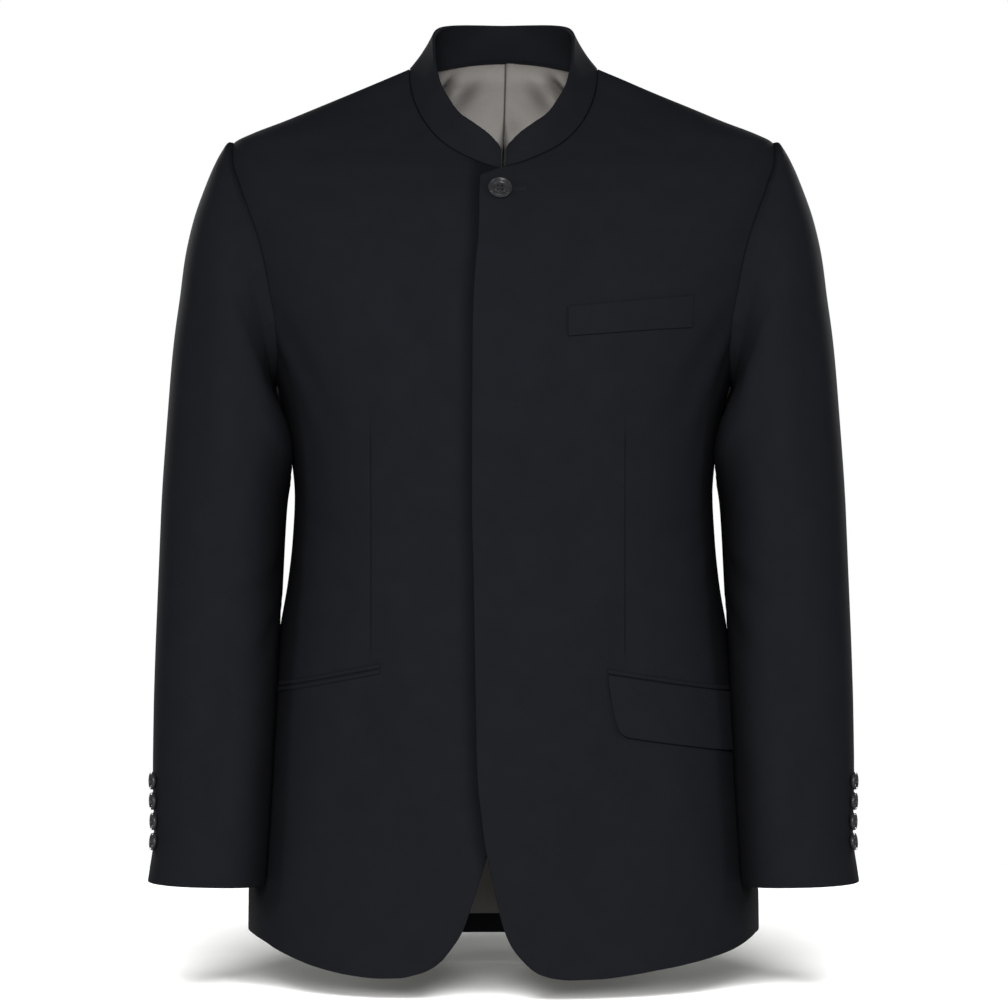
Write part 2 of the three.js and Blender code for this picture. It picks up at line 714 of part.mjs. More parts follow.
// Rimmed buttons, each lying on the cloth that it is sewn to
const FRONT_BUTTON = { across: -2.9, level: -115, radius: 10, thickness: 3.2, steps: 20 };
const BUTTON_HOLE = { radius: 1.1, offset: 2, steps: 6 };
const SLEEVE_BUTTON = { radius: 7.4, thickness: 3, steps: 14, first: -606.5, pitch: 16.8, count: 4,
  angle: 20 };
const FRONT_BUTTON_GAP = 0.45;
const SLEEVE_BUTTON_GAP = 0.7;

function buttonProfile(radius, thickness) {
  return [
    [0, 0], [radius * 0.86, 0], [radius, thickness * 0.35], [radius, thickness * 0.75],
    [radius * 0.9, thickness], [radius * 0.72, thickness * 0.86], [radius * 0.58, thickness * 0.56],
    [0, thickness * 0.5],
  ].map(([x, y]) => new THREE.Vector2(x, y));
}

function placeButton(mesh, point, out, gap) {
  mesh.quaternion.setFromUnitVectors(new THREE.Vector3(0, 1, 0), out);
  mesh.position.copy(point).addScaledVector(out, gap);
  return mesh;
}

function bare(geometry) {
  geometry.deleteAttribute('normal');
  geometry.deleteAttribute('uv');
  return mergeVertices(geometry, 1e-4);
}

async function frontButton() {
  const { across, level, radius, thickness, steps } = FRONT_BUTTON;
  const wasm = await Module();
  wasm.setup();
  const solid = (geometry) => {
    const merged = bare(geometry);
    return new wasm.Manifold(new wasm.Mesh({
      numProp: 3,
      vertProperties: Float32Array.from(merged.attributes.position.array),
      triVerts: Uint32Array.from(merged.index.array),
    }));
  };
  let disc = solid(new THREE.LatheGeometry(buttonProfile(radius, thickness), steps));
  for (const [x, z] of [[1, 1], [1, -1], [-1, 1], [-1, -1]]) {
    const hole = new THREE.CylinderGeometry(BUTTON_HOLE.radius, BUTTON_HOLE.radius, thickness * 4,
      BUTTON_HOLE.steps);
    hole.translate(x * BUTTON_HOLE.offset, 0, z * BUTTON_HOLE.offset);
    disc = disc.subtract(solid(hole));
  }
  const cut = disc.getMesh();
  const geometry = new THREE.BufferGeometry();
  geometry.setAttribute('position', new THREE.BufferAttribute(cut.vertProperties, 3));
  geometry.setIndex(Array.from(cut.triVerts));
  const turn = turnAt(across, level);
  return placeButton(named('front_button', geometry, 'button'), leftFront(level, turn),
    normalOf(leftFront, level, turn), FRONT_BUTTON_GAP);
}

function sleeveButtons() {
  const { radius, thickness, steps, first, pitch, count, angle } = SLEEVE_BUTTON;
  const meshes = [];
  for (const [word, side] of [['left', 1], ['right', -1]]) {
    for (let k = 0; k < count; k += 1) {
      const ring = ringAtHeight(first - k * pitch, angle);
      const point = sleeve(ring, angle);
      const out = sleeveNormal(ring, angle);
      for (const vector of [point, out]) vector.x *= side;
      const geometry = bare(new THREE.LatheGeometry(buttonProfile(radius, thickness), steps));
      const mesh = named(`sleeve_button_${word}_${k + 1}`, geometry, 'button');
      meshes.push(placeButton(mesh, point, out, SLEEVE_BUTTON_GAP));
    }
  }
  return meshes;
}

// The ring of the sleeve that lies at a height, found by halving.
function ringAtHeight(height, angle) {
  let low = LAST_RING / 2;
  let high = LAST_RING;
  for (let k = 0; k < 30; k += 1) {
    const middle = (low + high) / 2;
    if (sleeve(middle, angle).z > height) low = middle;
    else high = middle;
  }
  return (low + high) / 2;
}

const blazer = new THREE.Group();
blazer.name = 'blazer';
const leftPlaces = frontPlaces(leftEdge, leftHem, LAP_CORNER_LEVEL);
const rightPlaces = frontPlaces(rightEdge, rightHem, UNDER_CORNER_LEVEL);
const backHalf = backPlaces();
const sideHalf = sidePlaces();
blazer.add(
  panel('front_left', leftPlaces, leftFront, ['point', 'first', 'last']),
  panel('front_right', mirrored(rightPlaces), body, ['point', 'first', 'last']),
  panel('side_left', sideHalf, body, ['top', 'first', 'last']),
  panel('side_right', mirrored(sideHalf), body, ['top', 'first', 'last']),
  panel('back_left', backHalf, body, ['point', 'first', 'last']),
  panel('back_right', mirrored(backHalf), body, ['point', 'first', 'last']),
  ...sleeves(),
  collar(),
  backLining(backHalf),
  breastWelt(),
  pocketFlap(),
  jet('jet_left', leftFront, 1, LEFT_POCKET, -JET.height - JET.apart),
  jet('jet_right_upper', body, -1, RIGHT_POCKET, 0),
  jet('jet_right_lower', body, -1, RIGHT_POCKET, JET.height + JET.apart),
  await frontButton(),
  ...sleeveButtons(),
);

export default blazer;
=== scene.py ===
import math

import bmesh
import bpy
import numpy as np
from bpy.props import FloatProperty, FloatVectorProperty, PointerProperty
from mathutils import Matrix, Vector


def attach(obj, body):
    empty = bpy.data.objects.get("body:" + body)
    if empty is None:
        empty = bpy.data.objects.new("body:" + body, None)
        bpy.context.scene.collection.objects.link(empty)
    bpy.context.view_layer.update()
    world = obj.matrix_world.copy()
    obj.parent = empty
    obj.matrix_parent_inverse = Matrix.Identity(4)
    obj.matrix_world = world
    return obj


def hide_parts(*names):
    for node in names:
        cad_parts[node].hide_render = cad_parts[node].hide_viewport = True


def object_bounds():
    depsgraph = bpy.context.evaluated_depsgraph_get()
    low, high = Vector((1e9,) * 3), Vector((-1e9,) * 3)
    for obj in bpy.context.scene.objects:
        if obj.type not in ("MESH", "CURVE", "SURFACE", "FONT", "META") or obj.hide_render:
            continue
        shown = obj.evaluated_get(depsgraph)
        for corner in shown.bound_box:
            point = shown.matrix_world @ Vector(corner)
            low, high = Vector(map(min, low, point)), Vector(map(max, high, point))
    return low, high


bl_info = {
    "name": "Band-Collar Blazer",
    "version": (1, 0, 0),
    "blender": (4, 5, 0),
    "location": "View3D > Sidebar > Blazer",
    "description": "Tailored blazer in wool, with lining, pockets, buttons and a pale studio",
    "category": "Add Mesh",
}

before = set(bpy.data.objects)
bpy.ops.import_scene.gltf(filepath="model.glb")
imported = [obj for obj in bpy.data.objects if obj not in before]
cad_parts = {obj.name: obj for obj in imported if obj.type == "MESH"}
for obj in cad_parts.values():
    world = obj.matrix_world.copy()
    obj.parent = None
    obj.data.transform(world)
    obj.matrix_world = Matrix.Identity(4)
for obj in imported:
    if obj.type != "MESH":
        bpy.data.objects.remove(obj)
CAD_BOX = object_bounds()
MM = 0.001

# Neck, armhole, hem and front lap
NECK_HALF_WIDTH = 81
NECK_DROP = 90
NECK_POINT = 4.6
NECK_POINT_REACH = 34
SHOULDER_DROP = 63.5
ARMHOLE_DEPTH = 208.5
ARMHOLE_MID = -SHOULDER_DROP - ARMHOLE_DEPTH / 2
ARMHOLE_FRONT = 30
ARMHOLE_BACK = 27
BACK_RISE = 16
BACK_RISE_ENDS = -150
FRONT_FULLNESS = 0.2
BACK_FULLNESS = 0.15
BACK_HEM = -757
SIDE_HEM_RISE = 19
HEM_FACING = 18
LAP_LIFT = 2.6
LAP_EDGE_LIFT = 3
LAP_FULL_X = 22
LAP_ENDS_X = 72
LAP_CORNER_LEVEL = -103
UNDER_CORNER_LEVEL = -98
UNDERARM_ANGLE = 150
# The side seams' turns above and below, and the levels between which each one changes
SIDE_SEAM_TOP = -258
FRONT_SEAM_TURNS = (75, 84)
FRONT_SEAM_LOW = -366
BACK_SEAM_TURNS = (103.5, 124)
BACK_SEAM_LOW = -450
# How far down the side bodies' rows follow the underarm's curve, and how much at the middle
SIDE_SAG_MID = -290
SIDE_SAG_ENDS = -330
SIDE_SAG_SHARE = 0.45
# How the columns crowd at a front's hem and the rows along the centre back
HEM_CROWDING = 1.15
BACK_CROWDING = 0.9
# The last level with straight rows, and where the inside is faced with the outer cloth
LAST_STRAIGHT = -640
FACING_WIDTH = 92
FACING_HEM = -724
FACING_NECK = -60
CUFF_FACING = -650

# How finely the cloth is modelled
CLOTH_STEP = 3.8
EDGE_STOPS = (0, 0.12, 0.35, 0.7, 1.3, 2.4)
LEAST_GAP = 0.45
LINE_STOPS = (-1.4, -0.8, -0.45, -0.2, 0, 0.2, 0.45, 0.8, 1.4)
NEAR_BORDER = 14
FAR = 1e3
REACH_ROUNDS = 8
FRONT_WIDTH = 250
HALF_WIDTH = 205
SIDE_WIDTH = 130
HIP_LENGTH = 115
BAND_LENGTH = 235
BAND_HEIGHT = 42
BAND_STEP = 3.2
ROWS_TO_SHOULDER = 38
ROWS_TO_UNDERARM = 71
ROWS_TO_HIP = 101

# Row numbers of fronts and backs, and the degrees of the armhole between two rows
SEAM_START = 0.02
SHOULDER_TIP = 4
UNDERARM_ROW = 14
ROW_TURN = 15
NECK_ENDS = 7
CORNER_ROW = 8
BACK_NECK_ENDS = 5

# The sleeve's first rows of cloth, and the rings over which its folds begin
CROWN_LENGTH = 8
CROWN_STEP = 1.2
FOLDS_BEGIN_OVER = 1.5

# The least side of a sheet's worked-out size in metres, and the least share of its rectangle that its area
# takes
LEAST_SIDE = 0.01
LEAST_SHARE = 0.301


def table(columns, rows):
    return dict(zip(columns, np.array(rows, float).T))


# The body's rings: half width at the sides, depth to the front and to the back.
BODY = table(("level", "width", "front", "back"), (
    (0, 81, 3, 65), (-10, 104.6, 12.8, 73.5), (-20, 128.2, 21.5, 80), (-30, 151.9, 30, 84.5),
    (-45, 188.5, 43, 90.5), (-56, 217, 52.5, 94.4), (-63.5, 231.5, 59, 96.8),
    (-75, 238.5, 69, 99.6), (-90, 243.5, 82, 103), (-110, 244, 95, 106.5),
    (-130, 241.5, 106, 109.3), (-155, 236, 116, 111.3), (-190, 226, 127, 112),
    (-233, 208, 134, 107.5), (-267, 196, 134.8, 101.8), (-300, 188, 133, 95),
    (-340, 181.5, 128.8, 87), (-366, 179.5, 126, 84), (-405, 181.3, 122.5, 84),
    (-440, 185, 121, 87), (-480, 191.8, 121, 92), (-520, 198, 121.8, 98),
    (-560, 203, 123.4, 103.6), (-600, 207.5, 125, 108), (-650, 213.5, 127.5, 112),
    (-706, 219, 130.2, 114), (-740, 219.3, 131.3, 115), (-780, 219.3, 132, 115),
))

# The front edges and hems, measured from the centre front towards each piece's own side.
LEFT_EDGE = table(("level", "across"), (
    (-103, -19.7), (-155, -20.8), (-178, -23), (-220, -25), (-380, -25.8), (-420, -24.8),
    (-500, -23.4), (-580, -22), (-605, -21), (-628, -18.4), (-650, -15.8), (-663, -13.5),
    (-686, -8.6), (-709, -3.3), (-724, 0.9), (-736, 6.2), (-745, 12.4), (-750, 17),
))
LEFT_HEM = table(("across", "level"), (
    (17, -750), (22, -755), (30.2, -760), (40.6, -763.2), (56, -765), (79, -764.6), (105, -762),
    (126, -759), (144, -756.6), (171, -752), (193, -747), (207, -742), (214.8, -738.3),
))
RIGHT_EDGE = table(("level", "across"), (
    (-98, -20), (-500, -20), (-540, -14), (-600, -3), (-640, 7), (-663, 13.5), (-675, 16.8),
    (-688, 21), (-705, 26.4), (-725, 33.7), (-734, 39), (-744, 46.4), (-748.5, 50),
))
RIGHT_HEM = table(("across", "level"), (
    (50, -748.5), (56, -753.5), (64, -758), (74.5, -761.5), (85, -763.8), (105, -764.6),
    (126, -763), (157.6, -757.4), (172.6, -753), (191, -746.5), (203, -741.5), (214.8, -738.3),
))

# The sleeve's rings: outer and inner lines, middle and half depth front to back, how full
# the inner front corner is, the share of the armhole's form kept, and the room off the body.
SLEEVE = table(("outX", "outZ", "inX", "inZ", "middle", "depth", "full", "keeps", "clear"), (
    (231.5, -63.5, 196, -272, -6, 63, 2, 1, 0), (235.8, -62.8, 197.6, -275.5, -6, 64, 2, 0.82, 0.9),
    (242, -71, 198, -279.5, -6, 66, 2, 0.64, 2), (249, -85, 196, -285, -7, 68, 2.1, 0.46, 3),
    (257, -106, 192, -292, -9, 69, 2.4, 0.3, 3), (264.5, -130, 186, -300, -12, 69.5, 2.8, 0.18, 3),
    (272, -164, 180, -315, -15, 69, 3.2, 0.09, 3), (276.5, -199, 177.5, -332, -17, 68, 3.4, 0.03, 3),
    (281, -233, 180.5, -350, -18, 67, 3.2, 0, 3), (285, -275, 184.5, -374, -19, 65, 3, 0, 3),
    (289, -336, 186.5, -404, -21, 62.5, 3, 0, 3.4), (291.5, -385, 187.5, -432, -24, 60.5, 3, 0, 3.8),
    (294, -450, 189, -474, -29, 58, 3.2, 0, 4.4), (296.5, -545, 192, -556, -40, 52, 3.4, 0, 5),
    (296, -605, 194.5, -612, -48, 48, 3.4, 0, 5), (294.5, -650, 196.5, -653, -55, 45, 3.2, 0, 5),
    (299.2, -691, 198.5, -693, -61, 43, 3, 0, 5),
))
SLEEVE_SEAMS = table(("ring", "back", "front"), (
    (0, -75, 120), (6, -66, 130), (11, -45, 145), (16, -2, 165),
))
LAST_RING = len(SLEEVE["outX"]) - 1

# The collar's top edge by the neckline's own angle: 90 at the centre front, 0 at the
# shoulder seam and -90 at the centre back.
COLLAR_TOP = table(("turn", "x", "y", "z"), (
    (90, 2, -76.5, -74.4), (82.5, 12.3, -75, -63.4), (75, 22.6, -72, -55.6), (60, 37.5, -61.5, -44),
    (45, 46.5, -50, -30.5), (30, 55, -37.5, -13.5), (15, 59.6, -20, 9.5), (0, 60.6, 0, 29.5),
    (-18, 56.5, 19, 38.5), (-36, 46, 36, 43), (-54, 31.5, 48.5, 45.2), (-72, 16, 55.8, 46),
    (-90, 0, 58, 46),
))
COLLAR_END = 2
COLLAR_LAST_TURN = math.degrees(math.acos(COLLAR_END / NECK_HALF_WIDTH))
COLLAR_BULGE = 1.2
COLLAR_HOLLOW = -1.3
COLLAR_LIFT = 0.35
COLLAR_CREST = -70
COLLAR_SWELLS_OVER = 8
COLLAR_CENTRE = 10
COLLAR_RIPPLE = 0.7
COLLAR_INNER_ROLL = 1
COLLAR_CORNER = 3.5
COLLAR_TUCK = ((0.8, 0.7), (1.2, 0.5), (1.6, 0.4))

# Pockets, all measured on the panel's surface
WELT = {"start": 52.6, "end": 157.5, "top_start": -211.7, "top_end": -201, "ends_in": 1.5,
        "deep_start": 24.8, "deep_end": 26.6, "thickness": 1.6}
POCKET_TURN = 79
POCKET_SLOPE_TO = 185
JET = {"height": 4.2, "apart": 0.6, "thickness": 0.6, "puff": 0.7}
RIGHT_POCKET = {"inner": 102, "start": -505.6, "end": -523.5}
LEFT_POCKET = {"inner": 86.2, "start": -514.9, "end": -532}
FLAP = {"depth": 50, "length": 140, "corner": 10, "lean": 4, "crowding": 1.6, "thickness": 2,
        "stands_out": 1.3}
LOW_LIFT = 0.5
# The welt's and the jets' sizes as their grids of points are spaced, and the spacing itself
WELT_GRID = (104, 26)
JET_GRID = (100, JET["height"])
TRIM_STEP = 2.6
TRIM_ROWS = 6

# Buttons, holes and thread
FRONT_BUTTON = {"across": -2.9, "level": -115, "radius": 10, "thickness": 3.2, "gap": 0.45}
SLEEVE_BUTTON = {"radius": 7.4, "thickness": 3, "first": -606.5, "pitch": 16.8, "count": 4,
                 "angle": 20, "gap": 0.7}
# A button's rim and face as shares of its radius and thickness, from the middle of its back
BUTTON_PROFILE = (
    (0, 0), (0.84, 0), (0.95, 0.12), (1, 0.36), (1, 0.66), (0.98, 0.84), (0.94, 0.93),
    (0.9, 0.9), (0.875, 0.8), (0.85, 0.8), (0.83, 0.93), (0.8, 0.98), (0.77, 0.93),
    (0.75, 0.76), (0.7, 0.7), (0.56, 0.68), (0.53, 0.6), (0.5, 0.6), (0.47, 0.68),
    (0.3, 0.66), (0, 0.66),
)
BUTTON_TURNS = 64
HOLE_OFFSET = 0.18
HOLE_RADIUS = 0.095
HOLE_SIDES = 20
# The button's thread: its thickness, how deep it starts in the holes and how high it bows
BUTTON_THREAD = {"radius": 0.17, "starts": 0.3, "bow": 0.5, "apart": 0.03, "slant": 0.02}
# The buttonhole's stitches: their spacing, their reach on each side of the slit, and the bar tack
STITCH = {"pitch": 0.42, "lip": 0.12, "reach": 1.35, "slant": 0.1, "stands": 0.12, "radius": 0.22,
          "bow": 0.28}
TACK = {"each_side": 3, "starts": -0.2, "ends": 0.6, "slant": 0.5, "radius": 0.2, "bow": 0.3}
BUTTON_HOLE = table(("across", "level"), ((-7, -115.6), (6, -114.6), (13, -113.9), (18.2, -113.3)))

# How strongly painted shade darkens the cloth: at its seams, in its troughs, and where other cloth lies
# close
SEAM_SHADE_WIDTH = 1.1
SLEEVE_SEAM_ROLL = 1 / 3
SLEEVE_SEAM_SHADE = 0.3
COLLAR_SEAM_SHADE = 0.6
FOLD_FULL_SHADE = 20
BESIDE_SLEEVE = 0.42
BESIDE_TURNS = (50, 84, 112, 132)
BESIDE_DROPS = (235, 305, 685, 745)
INNER_SLEEVE = 0.6
INNER_ANGLES = (92, 154, 232, 292)
INNER_FROM_RING = 5
INNER_OVER_RINGS = 4
UNDER_LAP = 0.5
LAP_SHADE_REACH = 7

# Sewn darts of the fronts: how far across they lie, and the levels between which they run
DARTS = {"left": 100.6, "right": 110}
DART_TOP = -296
DART_END = -503
DART_SHARE = 0.42
DART_GROOVE = 0.5
DART_WIDTH = 0.45
DART_FADES = (12, 30)

# How a fold widens along its run, how fast it fades at its ends, and the dip beside it
FOLD_WIDENS = (0.75, 1.25)
FOLD_SKEW = 0.85
FOLD_FADE = 0.8
FOLD_DIP = 0.45
FOLD_PIECES = 13
# The slight unevenness all over: the heights of its broad and its fine waves
RIPPLE = 0.22
FINE_RIPPLE = 0.12

# Soft folds, given one by one. Each runs from one place over a middle one to its end. Below 0 the
# depth is a trough, above 0 a ridge. Body places are a level and a turn.
FOLDS = ("from", "at", "middle", "mid_at", "to", "end_at", "depth", "width")
BODY_FOLDS = table(FOLDS, (
    (-205, 62, -258, 55, -318, 50, -1.8, 13), (-232, 70, -290, 66, -352, 60, -1.3, 10),
    (-378, 74, -392, 58, -396, 38, -1.1, 9), (-408, 80, -425, 66, -430, 50, 0.8, 9),
    (-150, 18, -215, 12, -310, 10, -0.9, 15), (-440, 32, -520, 26, -640, 30, -1.2, 20),
    (-560, 48, -640, 44, -735, 47, 1.4, 22), (-585, 14, -650, 18, -730, 24, -1.0, 16),
    (-200, -61, -262, -56, -326, -49, -1.6, 12), (-236, -72, -300, -64, -360, -62, -1.4, 11),
    (-372, -76, -388, -60, -401, -42, -1.2, 10), (-410, -80, -422, -64, -436, -52, 0.9, 10),
    (-160, -24, -230, -16, -318, -12, -0.8, 16), (-450, -36, -540, -30, -650, -34, -1.1, 19),
    (-560, -54, -650, -50, -740, -52, 1.3, 20), (-610, -16, -670, -22, -735, -27, -0.9, 15),
    (-196, 122, -262, 126, -330, 134, -2.4, 13), (-220, 116, -300, 119, -372, 124, 1.6, 12),
    (-376, 112, -398, 136, -404, 164, -1.9, 11), (-402, 106, -426, 128, -434, 152, 1.3, 12),
    (-120, 150, -190, 146, -262, 150, -1.4, 16), (-470, 128, -580, 134, -730, 130, -1.9, 19),
    (-520, 158, -620, 152, -735, 156, 1.5, 22), (-198, 238, -270, 232, -336, 226, -2.2, 12),
    (-224, 243, -296, 240, -380, 237, 1.5, 13), (-380, 248, -394, 224, -407, 198, -1.8, 12),
    (-405, 252, -430, 231, -440, 206, 1.2, 11), (-130, 210, -200, 214, -280, 208, -1.3, 17),
    (-480, 232, -600, 226, -735, 230, -1.8, 21), (-530, 202, -630, 207, -740, 203, 1.4, 20),
    (-60, 140, -88, 160, -92, 179, -1.2, 12), (-66, 218, -92, 201, -98, 183, -1.1, 11),
))
# Sleeve places are a ring, counted from the armhole, and an angle round it: 0 outside, 90 in
# front, 180 inside and 270 behind.
LEFT_SLEEVE_FOLDS = table(FOLDS, (
    (1.6, 100, 5, 112, 9.2, 104, -2.0, 14), (3.2, 132, 7, 128, 10.4, 136, -1.5, 11),
    (10.4, 168, 11.3, 138, 11.9, 104, -2.4, 10), (11.5, 172, 12.2, 140, 12.5, 108, -1.8, 9),
    (11.0, 150, 11.8, 128, 12.3, 112, 1.0, 8), (12.3, 98, 13.2, 84, 14.8, 88, -1.2, 16),
    (5, 60, 8.5, 66, 11, 58, -1.1, 18), (13.2, 152, 14.2, 138, 15.4, 142, -1.2, 11),
    (2.2, 250, 5.2, 244, 9, 252, -2.4, 14), (3.4, 228, 7.2, 222, 10.2, 230, 1.6, 12),
    (11.2, 200, 12, 236, 12.2, 268, -2.6, 11), (11.9, 196, 12.6, 232, 12.9, 264, 1.6, 10),
    (12.6, 204, 13.1, 238, 13.3, 262, -1.8, 10), (10.2, 300, 11.6, 288, 12.8, 296, -1.4, 16),
    (13.8, 250, 14.8, 262, 15.8, 256, -1.3, 13),
))
RIGHT_SLEEVE_FOLDS = table(FOLDS, (
    (1.8, 104, 5.3, 108, 9.0, 110, -1.8, 13), (3.0, 128, 6.8, 132, 10.0, 130, -1.6, 12),
    (10.6, 170, 11.4, 142, 12.1, 100, -2.2, 11), (11.7, 170, 12.3, 136, 12.6, 112, -1.6, 8),
    (11.1, 148, 11.9, 130, 12.4, 108, 0.9, 9), (12.5, 100, 13.4, 90, 14.9, 82, -1.3, 15),
    (4.6, 56, 8.2, 62, 10.8, 64, -1.2, 19), (13.4, 148, 14.4, 142, 15.5, 136, -1.1, 12),
    (2.0, 254, 5.0, 248, 9.3, 246, -2.2, 15), (3.2, 232, 7.0, 226, 10.4, 224, 1.5, 13),
    (11.1, 204, 11.8, 232, 12.3, 264, -2.4, 12), (11.8, 198, 12.7, 230, 12.8, 260, 1.5, 11),
    (12.7, 202, 13.2, 232, 13.4, 266, -1.9, 11), (10.4, 294, 11.8, 292, 13, 288, -1.3, 15),
    (13.6, 254, 14.9, 258, 15.7, 262, -1.4, 12),
))
LINING_FOLDS = table(FOLDS, (
    (-2, 153, -30, 158, -80, 163, -5.8, 8), (-1, 210, -28, 203, -74, 198, -5.6, 7.5),
    (-2, 140, -20, 146, -52, 148, -4.6, 6), (-2, 221, -24, 214, -60, 213, -4.4, 6),
    (-20, 148, -48, 152, -96, 157, 3.2, 6), (-18, 214, -50, 208, -100, 205, 3.0, 6),
    (-60, 172, -140, 174, -240, 171, -1.6, 10), (-52, 188, -130, 187, -230, 190, 1.5, 12),
    (-330, 176, -520, 173, -735, 178, -2.2, 7), (-420, 184, -600, 181, -740, 183, -1.8, 6),
    (-380, 170, -560, 168, -738, 171, -2.0, 8), (-200, 150, -420, 146, -700, 150, -2.4, 14),
    (-220, 212, -430, 214, -700, 209, -2.2, 13),
))
LINING_EASE = 5.5
LINING_SINKS = 0.9
LINING_SETTLES = 16
LINING_TOP = 0.15
# Painted shade in the lining's hollows: each has a middle level and its height, a turn and its width, and
# its strength.
LINING_HOLLOWS = table(("level", "height", "turn", "width", "strength"), (
    (-25, 15, 194, 4.5, 0.55), (-12, 6, 199, 6, 0.3), (-28, 14, 167, 4, 0.5),
    (-18, 8, 160, 4, 0.3), (-50, 8, 177.5, 2.5, 0.3),
))
# Painted shade in the lining's troughs, behind the collar's slit and near the hem.
LINING_FULL_SHADE = 6
LINING_MOST_SHADE = 0.6
SLIT_SHADE = 1
SLIT_DROPS = (61, 67, 400, 480)
HEM_SHADE = 0.47
HEM_SHADE_TOP = -560
HEM_SHADE_OVER = 90

# The pleat at the lining's centre back with the painted shade along it, and the stops and the share of the
# width beside it
PLEAT = {"x": 1.9, "lean": 0.03, "depth": 1.3, "turns_in": 0.8, "fades": 24, "ends": -240,
         "ends_over": 60, "opens": -42, "opens_over": 24, "opens_by": 1.8, "shade": 0.8,
         "shade_opens": 1.6, "shade_under": 1.4}
PLEAT_STOPS = (0, 0.4, 0.8, 1.2, 1.6, 2.1, 2.7, 3.4, 4.4)
PLEAT_SHARE = 0.025


def sind(angle):
    return np.sin(np.radians(angle))


def cosd(angle):
    return np.cos(np.radians(angle))


def lerp(start, end, share):
    return start + (end - start) * share


def ease(value):
    value = np.clip(value, 0, 1)
    return value * value * (3 - 2 * value)


def unit(vectors):
    return vectors / np.maximum(np.linalg.norm(vectors, axis=-1, keepdims=True), 1e-12)


def curve(rows, at, value):
    """A smooth line through a table's points that never overshoots them."""
    order = np.argsort(rows[at])
    x, y = rows[at][order], rows[value][order]
    gaps = np.diff(x)
    rises = np.diff(y) / gaps
    slopes = np.zeros(len(x))
    slopes[0], slopes[-1] = rises[0], rises[-1]
    for k in range(1, len(x) - 1):
        if rises[k - 1] * rises[k] > 0:
            before = 2 * gaps[k] + gaps[k - 1]
            after = gaps[k] + 2 * gaps[k - 1]
            slopes[k] = (before + after) / (before / rises[k - 1] + after / rises[k])

    def read(where):
        where = np.clip(np.asarray(where, float), x[0], x[-1])
        k = np.clip(np.searchsorted(x, where, side="right") - 1, 0, len(gaps) - 1)
        t = (where - x[k]) / gaps[k]
        start = (1 + 2 * t) * (1 - t) ** 2 * y[k] + t * (1 - t) ** 2 * gaps[k] * slopes[k]
        end = t * t * (3 - 2 * t) * y[k + 1] + t * t * (t - 1) * gaps[k] * slopes[k + 1]
        return start + end

    return read


body_width = curve(BODY, "level", "width")
body_front = curve(BODY, "level", "front")
body_back = curve(BODY, "level", "back")
left_edge = curve(LEFT_EDGE, "level", "across")
right_edge = curve(RIGHT_EDGE, "level", "across")
left_hem = curve(LEFT_HEM, "across", "level")
right_hem = curve(RIGHT_HEM, "across", "level")
sleeve_line = {name: curve({"ring": np.arange(LAST_RING + 1.0), name: column}, "ring", name)
               for name, column in SLEEVE.items()}
seam_back = curve(SLEEVE_SEAMS, "ring", "back")
seam_front = curve(SLEEVE_SEAMS, "ring", "front")
collar_top = {name: curve(COLLAR_TOP, "turn", name) for name in "xyz"}


def body(level, turn):
    """Points of the body's outer surface. The turn is 0 at the centre front, 90 at the
    wearer's left side, -90 at the right side and 180 at the centre back."""
    level, turn = np.broadcast_arrays(np.asarray(level, float), np.asarray(turn, float))
    s, c = sind(turn), cosd(turn)
    front = -body_front(level) * c * (1 + FRONT_FULLNESS * s * s)
    back = -body_back(level) * c * (1 + BACK_FULLNESS * s * s)
    rise = BACK_RISE * ease(1 - level / BACK_RISE_ENDS) * c * c
    in_front = c >= 0
    return np.stack([body_width(level) * s, np.where(in_front, front, back),
                     level + np.where(in_front, 0, rise)], -1)


def normal_of(surface, level, turn):
    across = surface(level, turn + 1) - surface(level, turn - 1)
    up = surface(np.minimum(0, level + 1), turn) - surface(level - 1, turn)
    return unit(np.cross(across, up))


def left_front(level, turn):
    """The left front laps over the right one, so it stands off the body's surface there."""
    points = body(level, turn)
    share = ease((LAP_ENDS_X - points[..., 0]) / (LAP_ENDS_X - LAP_FULL_X))
    edge = ease((LAP_FULL_X - points[..., 0]) / (2 * LAP_FULL_X))
    lift = LAP_LIFT * share + LAP_EDGE_LIFT * edge
    return points + normal_of(body, level, turn) * lift[..., None]


def turn_at(across, level):
    return np.degrees(np.arcsin(np.clip(across / body_width(level), -1, 1)))


def armhole(angle):
    """The armhole, from 0 at the shoulder's tip by the front to 180 at the underarm."""
    reach = np.where(sind(angle) > 0, ARMHOLE_FRONT, ARMHOLE_BACK)
    return ARMHOLE_MID + ARMHOLE_DEPTH / 2 * cosd(angle), 90 - reach * sind(angle)


UNDERARM = float(armhole(UNDERARM_ANGLE)[0])


def neck_level(angle):
    """The neckline's level at one of its own turns, coming to a point at the centre front."""
    across = NECK_HALF_WIDTH * cosd(angle)
    return -NECK_DROP * sind(angle) - NECK_POINT * np.maximum(0, 1 - across / NECK_POINT_REACH) ** 1.5


def side_front_seam(level):
    return lerp(*FRONT_SEAM_TURNS, ease((SIDE_SEAM_TOP - level) / (SIDE_SEAM_TOP - FRONT_SEAM_LOW)))


def side_back_seam(level):
    return lerp(*BACK_SEAM_TURNS, ease((SIDE_SEAM_TOP - level) / (SIDE_SEAM_TOP - BACK_SEAM_LOW)))


def back_hem(turn):
    return BACK_HEM + SIDE_HEM_RISE * sind(turn) ** 4


def body_reach(y, z):
    """The half width of the body at a point's height and depth."""
    ahead = y < 0
    depth = np.where(ahead, body_front(z), body_back(z))
    fullness = np.where(ahead, FRONT_FULLNESS, BACK_FULLNESS)
    share = np.minimum(1, np.abs(y) / depth)
    c = share
    for _ in range(REACH_ROUNDS):
        c = np.minimum(1, share / (1 + fullness * (1 - c * c)))
    return body_width(z) * np.sqrt(1 - c * c)


